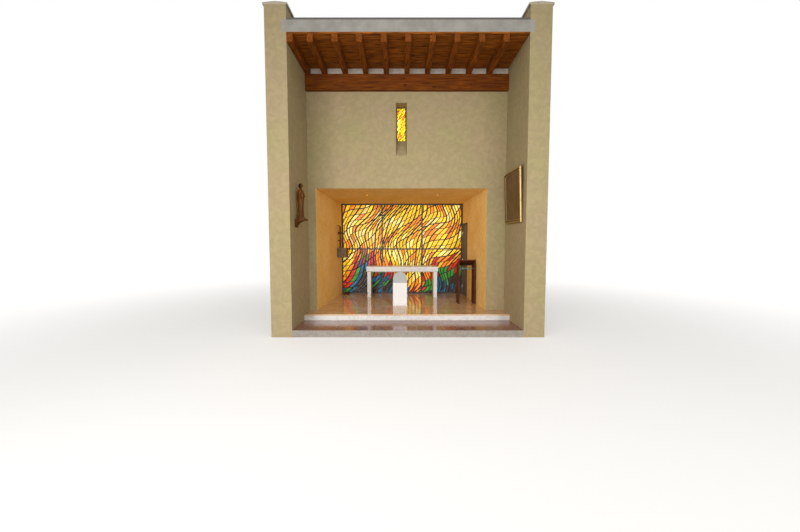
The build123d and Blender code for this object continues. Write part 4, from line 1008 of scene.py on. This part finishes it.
class FramePicture(bpy.types.Operator):
    """Carves the picture's gilt frame and finishes its bare panel"""

    bl_idname = "chapel.frame_picture"
    bl_label = "Picture"

    def execute(self, context):
        size = context.scene.chapel_carving
        # Varnished gesso ground on board: dark amber brown, glossy, with fine clouding.
        gloss = {"rough": 0.34, "depth": 0.0003, "Specular_IOR_Level": 0.25}
        dress(mottled("Varnished ground on board", "#583D1A", "#71502A", 0.16, **gloss), "picture_panel")
        # Walnut moulding, oiled, with gold leaf laid on its bead and sight edge and rubbed back to the wood.
        satin = {"Roughness": 0.42, "Specular IOR Level": 0.2}
        gilt, node, shader, where = new_finish("Parcel-gilt walnut", satin)
        leaf = node("Attribute", attribute_name="leaf")
        worn = patches(node, where, 0.035, 0.28, 0.40, detail=5.0)
        share = node("Math", {0: leaf.outputs["Fac"], 1: worn}, operation="MULTIPLY")
        tone = node("Mix", {0: share, 6: linear("#4A2E14"), 7: size.gilt}, data_type="RGBA")
        feed(shader, {"Base Color": tone, "Metallic": share})
        low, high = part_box("picture_frame")
        lean = size.lean
        tall = (high.z - low.z) / math.cos(lean)
        up = np.array([-math.sin(lean), 0, math.cos(lean)])
        out = np.array([-math.cos(lean), 0, -math.sin(lean)])
        foot = np.array([high.x, (low.y + high.y) / 2, low.z])
        # Distance in from the outer edge, distance off the wall, rippled or not, and gilded or not
        profile = np.array([
            (0, 0, 0, 0), (0, 0.012, 0, 0), (0.003, 0.016, 0, 1), (0.008, 0.018, 0, 1), (0.012, 0.017, 0, 0),
            (0.015, 0.024, 0, 0), (0.019, 0.036, 0, 0.9), (0.025, 0.047, 0, 1), (0.031, 0.052, 0, 1),
            (0.036, 0.0555, 1, 1), (0.042, 0.0565, 1, 1), (0.048, 0.0545, 1, 0.6), (0.053, 0.050, 0, 0),
            (0.056, 0.044, 0, 0), (0.061, 0.040, 0, 0), (0.068, 0.038, 0, 0.3), (0.075, 0.038, 0, 0),
            (0.079, 0.040, 0, 0.9), (0.083, 0.042, 0, 1), (0.088, 0.040, 0, 1), (0.092, 0.034, 0, 0.3),
            (0.092, 0.0268, 0, 0), (0.0775, 0.0268, 0, 0), (0.0775, 0, 0, 0),
        ])
        reach = (high.y - low.y, tall)
        along = np.array([0, -1, 0])
        points, faces = mitred_frame(foot + up * tall / 2, along, up, out, reach, profile[:, :3], 0.0015)
        marks = {"leaf": np.broadcast_to(profile[:, 3, None], (*points.shape[:3], 4))}
        moulding = piece("gilt_moulding", points, faces, gilt, "gilt_wood", marks=marks, weld=0.00001)
        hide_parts("picture_frame")
        return {"FINISHED"}


def background_rays(node):
    """1 for rays that show the background: from the camera, off a shiny surface, or through glass."""
    ray = node("LightPath").outputs
    seen = node("Math", {0: ray["Is Camera Ray"], 1: ray["Is Glossy Ray"]}, operation="MAXIMUM")
    return node("Math", {0: seen, 1: ray["Is Transmission Ray"]}, operation="MAXIMUM")


class SetStage(bpy.types.Operator):
    """Sets the pale floor, the soft lamps, the sky and the camera"""

    bl_idname = "chapel.set_stage"
    bl_label = "Stage"

    def execute(self, context):
        size = context.scene.chapel_stage
        scene = context.scene
        scene.view_settings.view_transform = "Standard"
        mesh, far = bpy.data.meshes.new("stage_floor"), 60
        mesh.from_pydata([(-far, -far, 0), (far, -far, 0), (far, far, 0), (-far, far, 0)], [], [(0, 1, 2, 3)])
        # Floor paint, rolled and matt: plain and pale. The camera sees it paler, and white further off, so
        # that no horizon shows, while the piece's shadow stays.
        matt = {"Base Color": size.floor, "Roughness": 0.95, "Specular IOR Level": 0.1}
        pale, node, shader, where = new_finish("Matt pale floor paint", matt)
        away = node("VectorMath", {0: where}, operation="LENGTH")
        spread = {"From Min": 4.0, "From Max": 14.0, "To Min": size.lift, "To Max": size.far_lift}
        lift = node("MapRange", {"Value": away, **spread}, interpolation_type="SMOOTHSTEP")
        lift = node("Math", {0: lift, 1: background_rays(node)}, operation="MULTIPLY")
        feed(shader, {"Emission Strength": lift, "Emission Color": (1, 1, 1, 1)})
        mesh.materials.append(pale)
        floor = put("stage_floor", mesh)
        world = bpy.data.worlds.new("Even studio sky")
        world.use_nodes = True
        scene.world = world
        node = partial(add, world.node_tree)
        level = node("MapRange", {"Value": background_rays(node), "To Min": size.sky, "To Max": 1.0})
        feed(world.node_tree.nodes["Background"], {"Strength": level, "Color": (1, 1, 1, 1)})
        for name, place, aim, power in (
            ("Main softbox", (-4.5, -12.5, 3.0), (0.8, 0.0, 1.6), size.lamp),
            ("Fill softbox", (4.0, -12.5, 3.8), (-0.8, 0.0, 2.2), size.lamp * 0.5),
        ):
            lamp = bpy.data.lights.new(name, "AREA")
            lamp.energy = power
            lamp.size = 6.0
            lamp.spread = math.radians(80)
            box = put(name, lamp)
            box.location = place
            right, on, rise = np.array(aim) - place
            box.rotation_euler = (math.atan2(math.hypot(right, on), -rise), 0, math.atan2(-right, on))
        view = bpy.data.cameras.new("Photograph view")
        view.lens = size.lens
        view.clip_end = 200
        camera = put("Photograph view", view)
        # The photograph was taken 2.1 m above the floor, a little left of the middle, looking slightly down.
        eye, down = (-0.17, -10.536, 2.10), 3.93
        camera.location = eye
        camera.rotation_euler = (math.radians(90 - down), 0, 0)
        scene.camera = camera
        return {"FINISHED"}


class ChapelPanel(bpy.types.Panel):
    """Lists the chapel's pieces in the order in which they are made"""

    bl_idname = "VIEW3D_PT_chapel"
    bl_label = "Chapel altar end"
    bl_space_type = "VIEW_3D"
    bl_region_type = "UI"
    bl_category = "Chapel"

    def draw(self, context):
        for step in STEPS:
            self.layout.operator(step.bl_idname)


SETTINGS = {
    "chapel_shell": ShellSettings,
    "chapel_floor": FloorSettings,
    "chapel_ceiling": CeilingSettings,
    "chapel_glass": GlassSettings,
    "chapel_carving": CarvingSettings,
    "chapel_stage": StageSettings,
}
# The pieces in the order in which they are made
STEPS = (
    FinishShell, LayFloors, BoardCeiling, GlazeWindows, ScrewFrame, HangDoor, FurnishRecess, LightRecess,
    CarveStatue, FramePicture, SetStage,
)


def register():
    for kind in (*SETTINGS.values(), *STEPS, ChapelPanel):
        bpy.utils.register_class(kind)
    for name, kind in SETTINGS.items():
        setattr(bpy.types.Scene, name, PointerProperty(type=kind))


def unregister():
    for name in SETTINGS:
        delattr(bpy.types.Scene, name)
    for kind in (ChapelPanel, *STEPS[::-1], *list(SETTINGS.values())[::-1]):
        bpy.utils.unregister_class(kind)


def main():
    register()
    for step in STEPS:
        group, name = step.bl_idname.split(".")
        getattr(getattr(bpy.ops, group), name)()


if __name__ == "__main__":
    main()
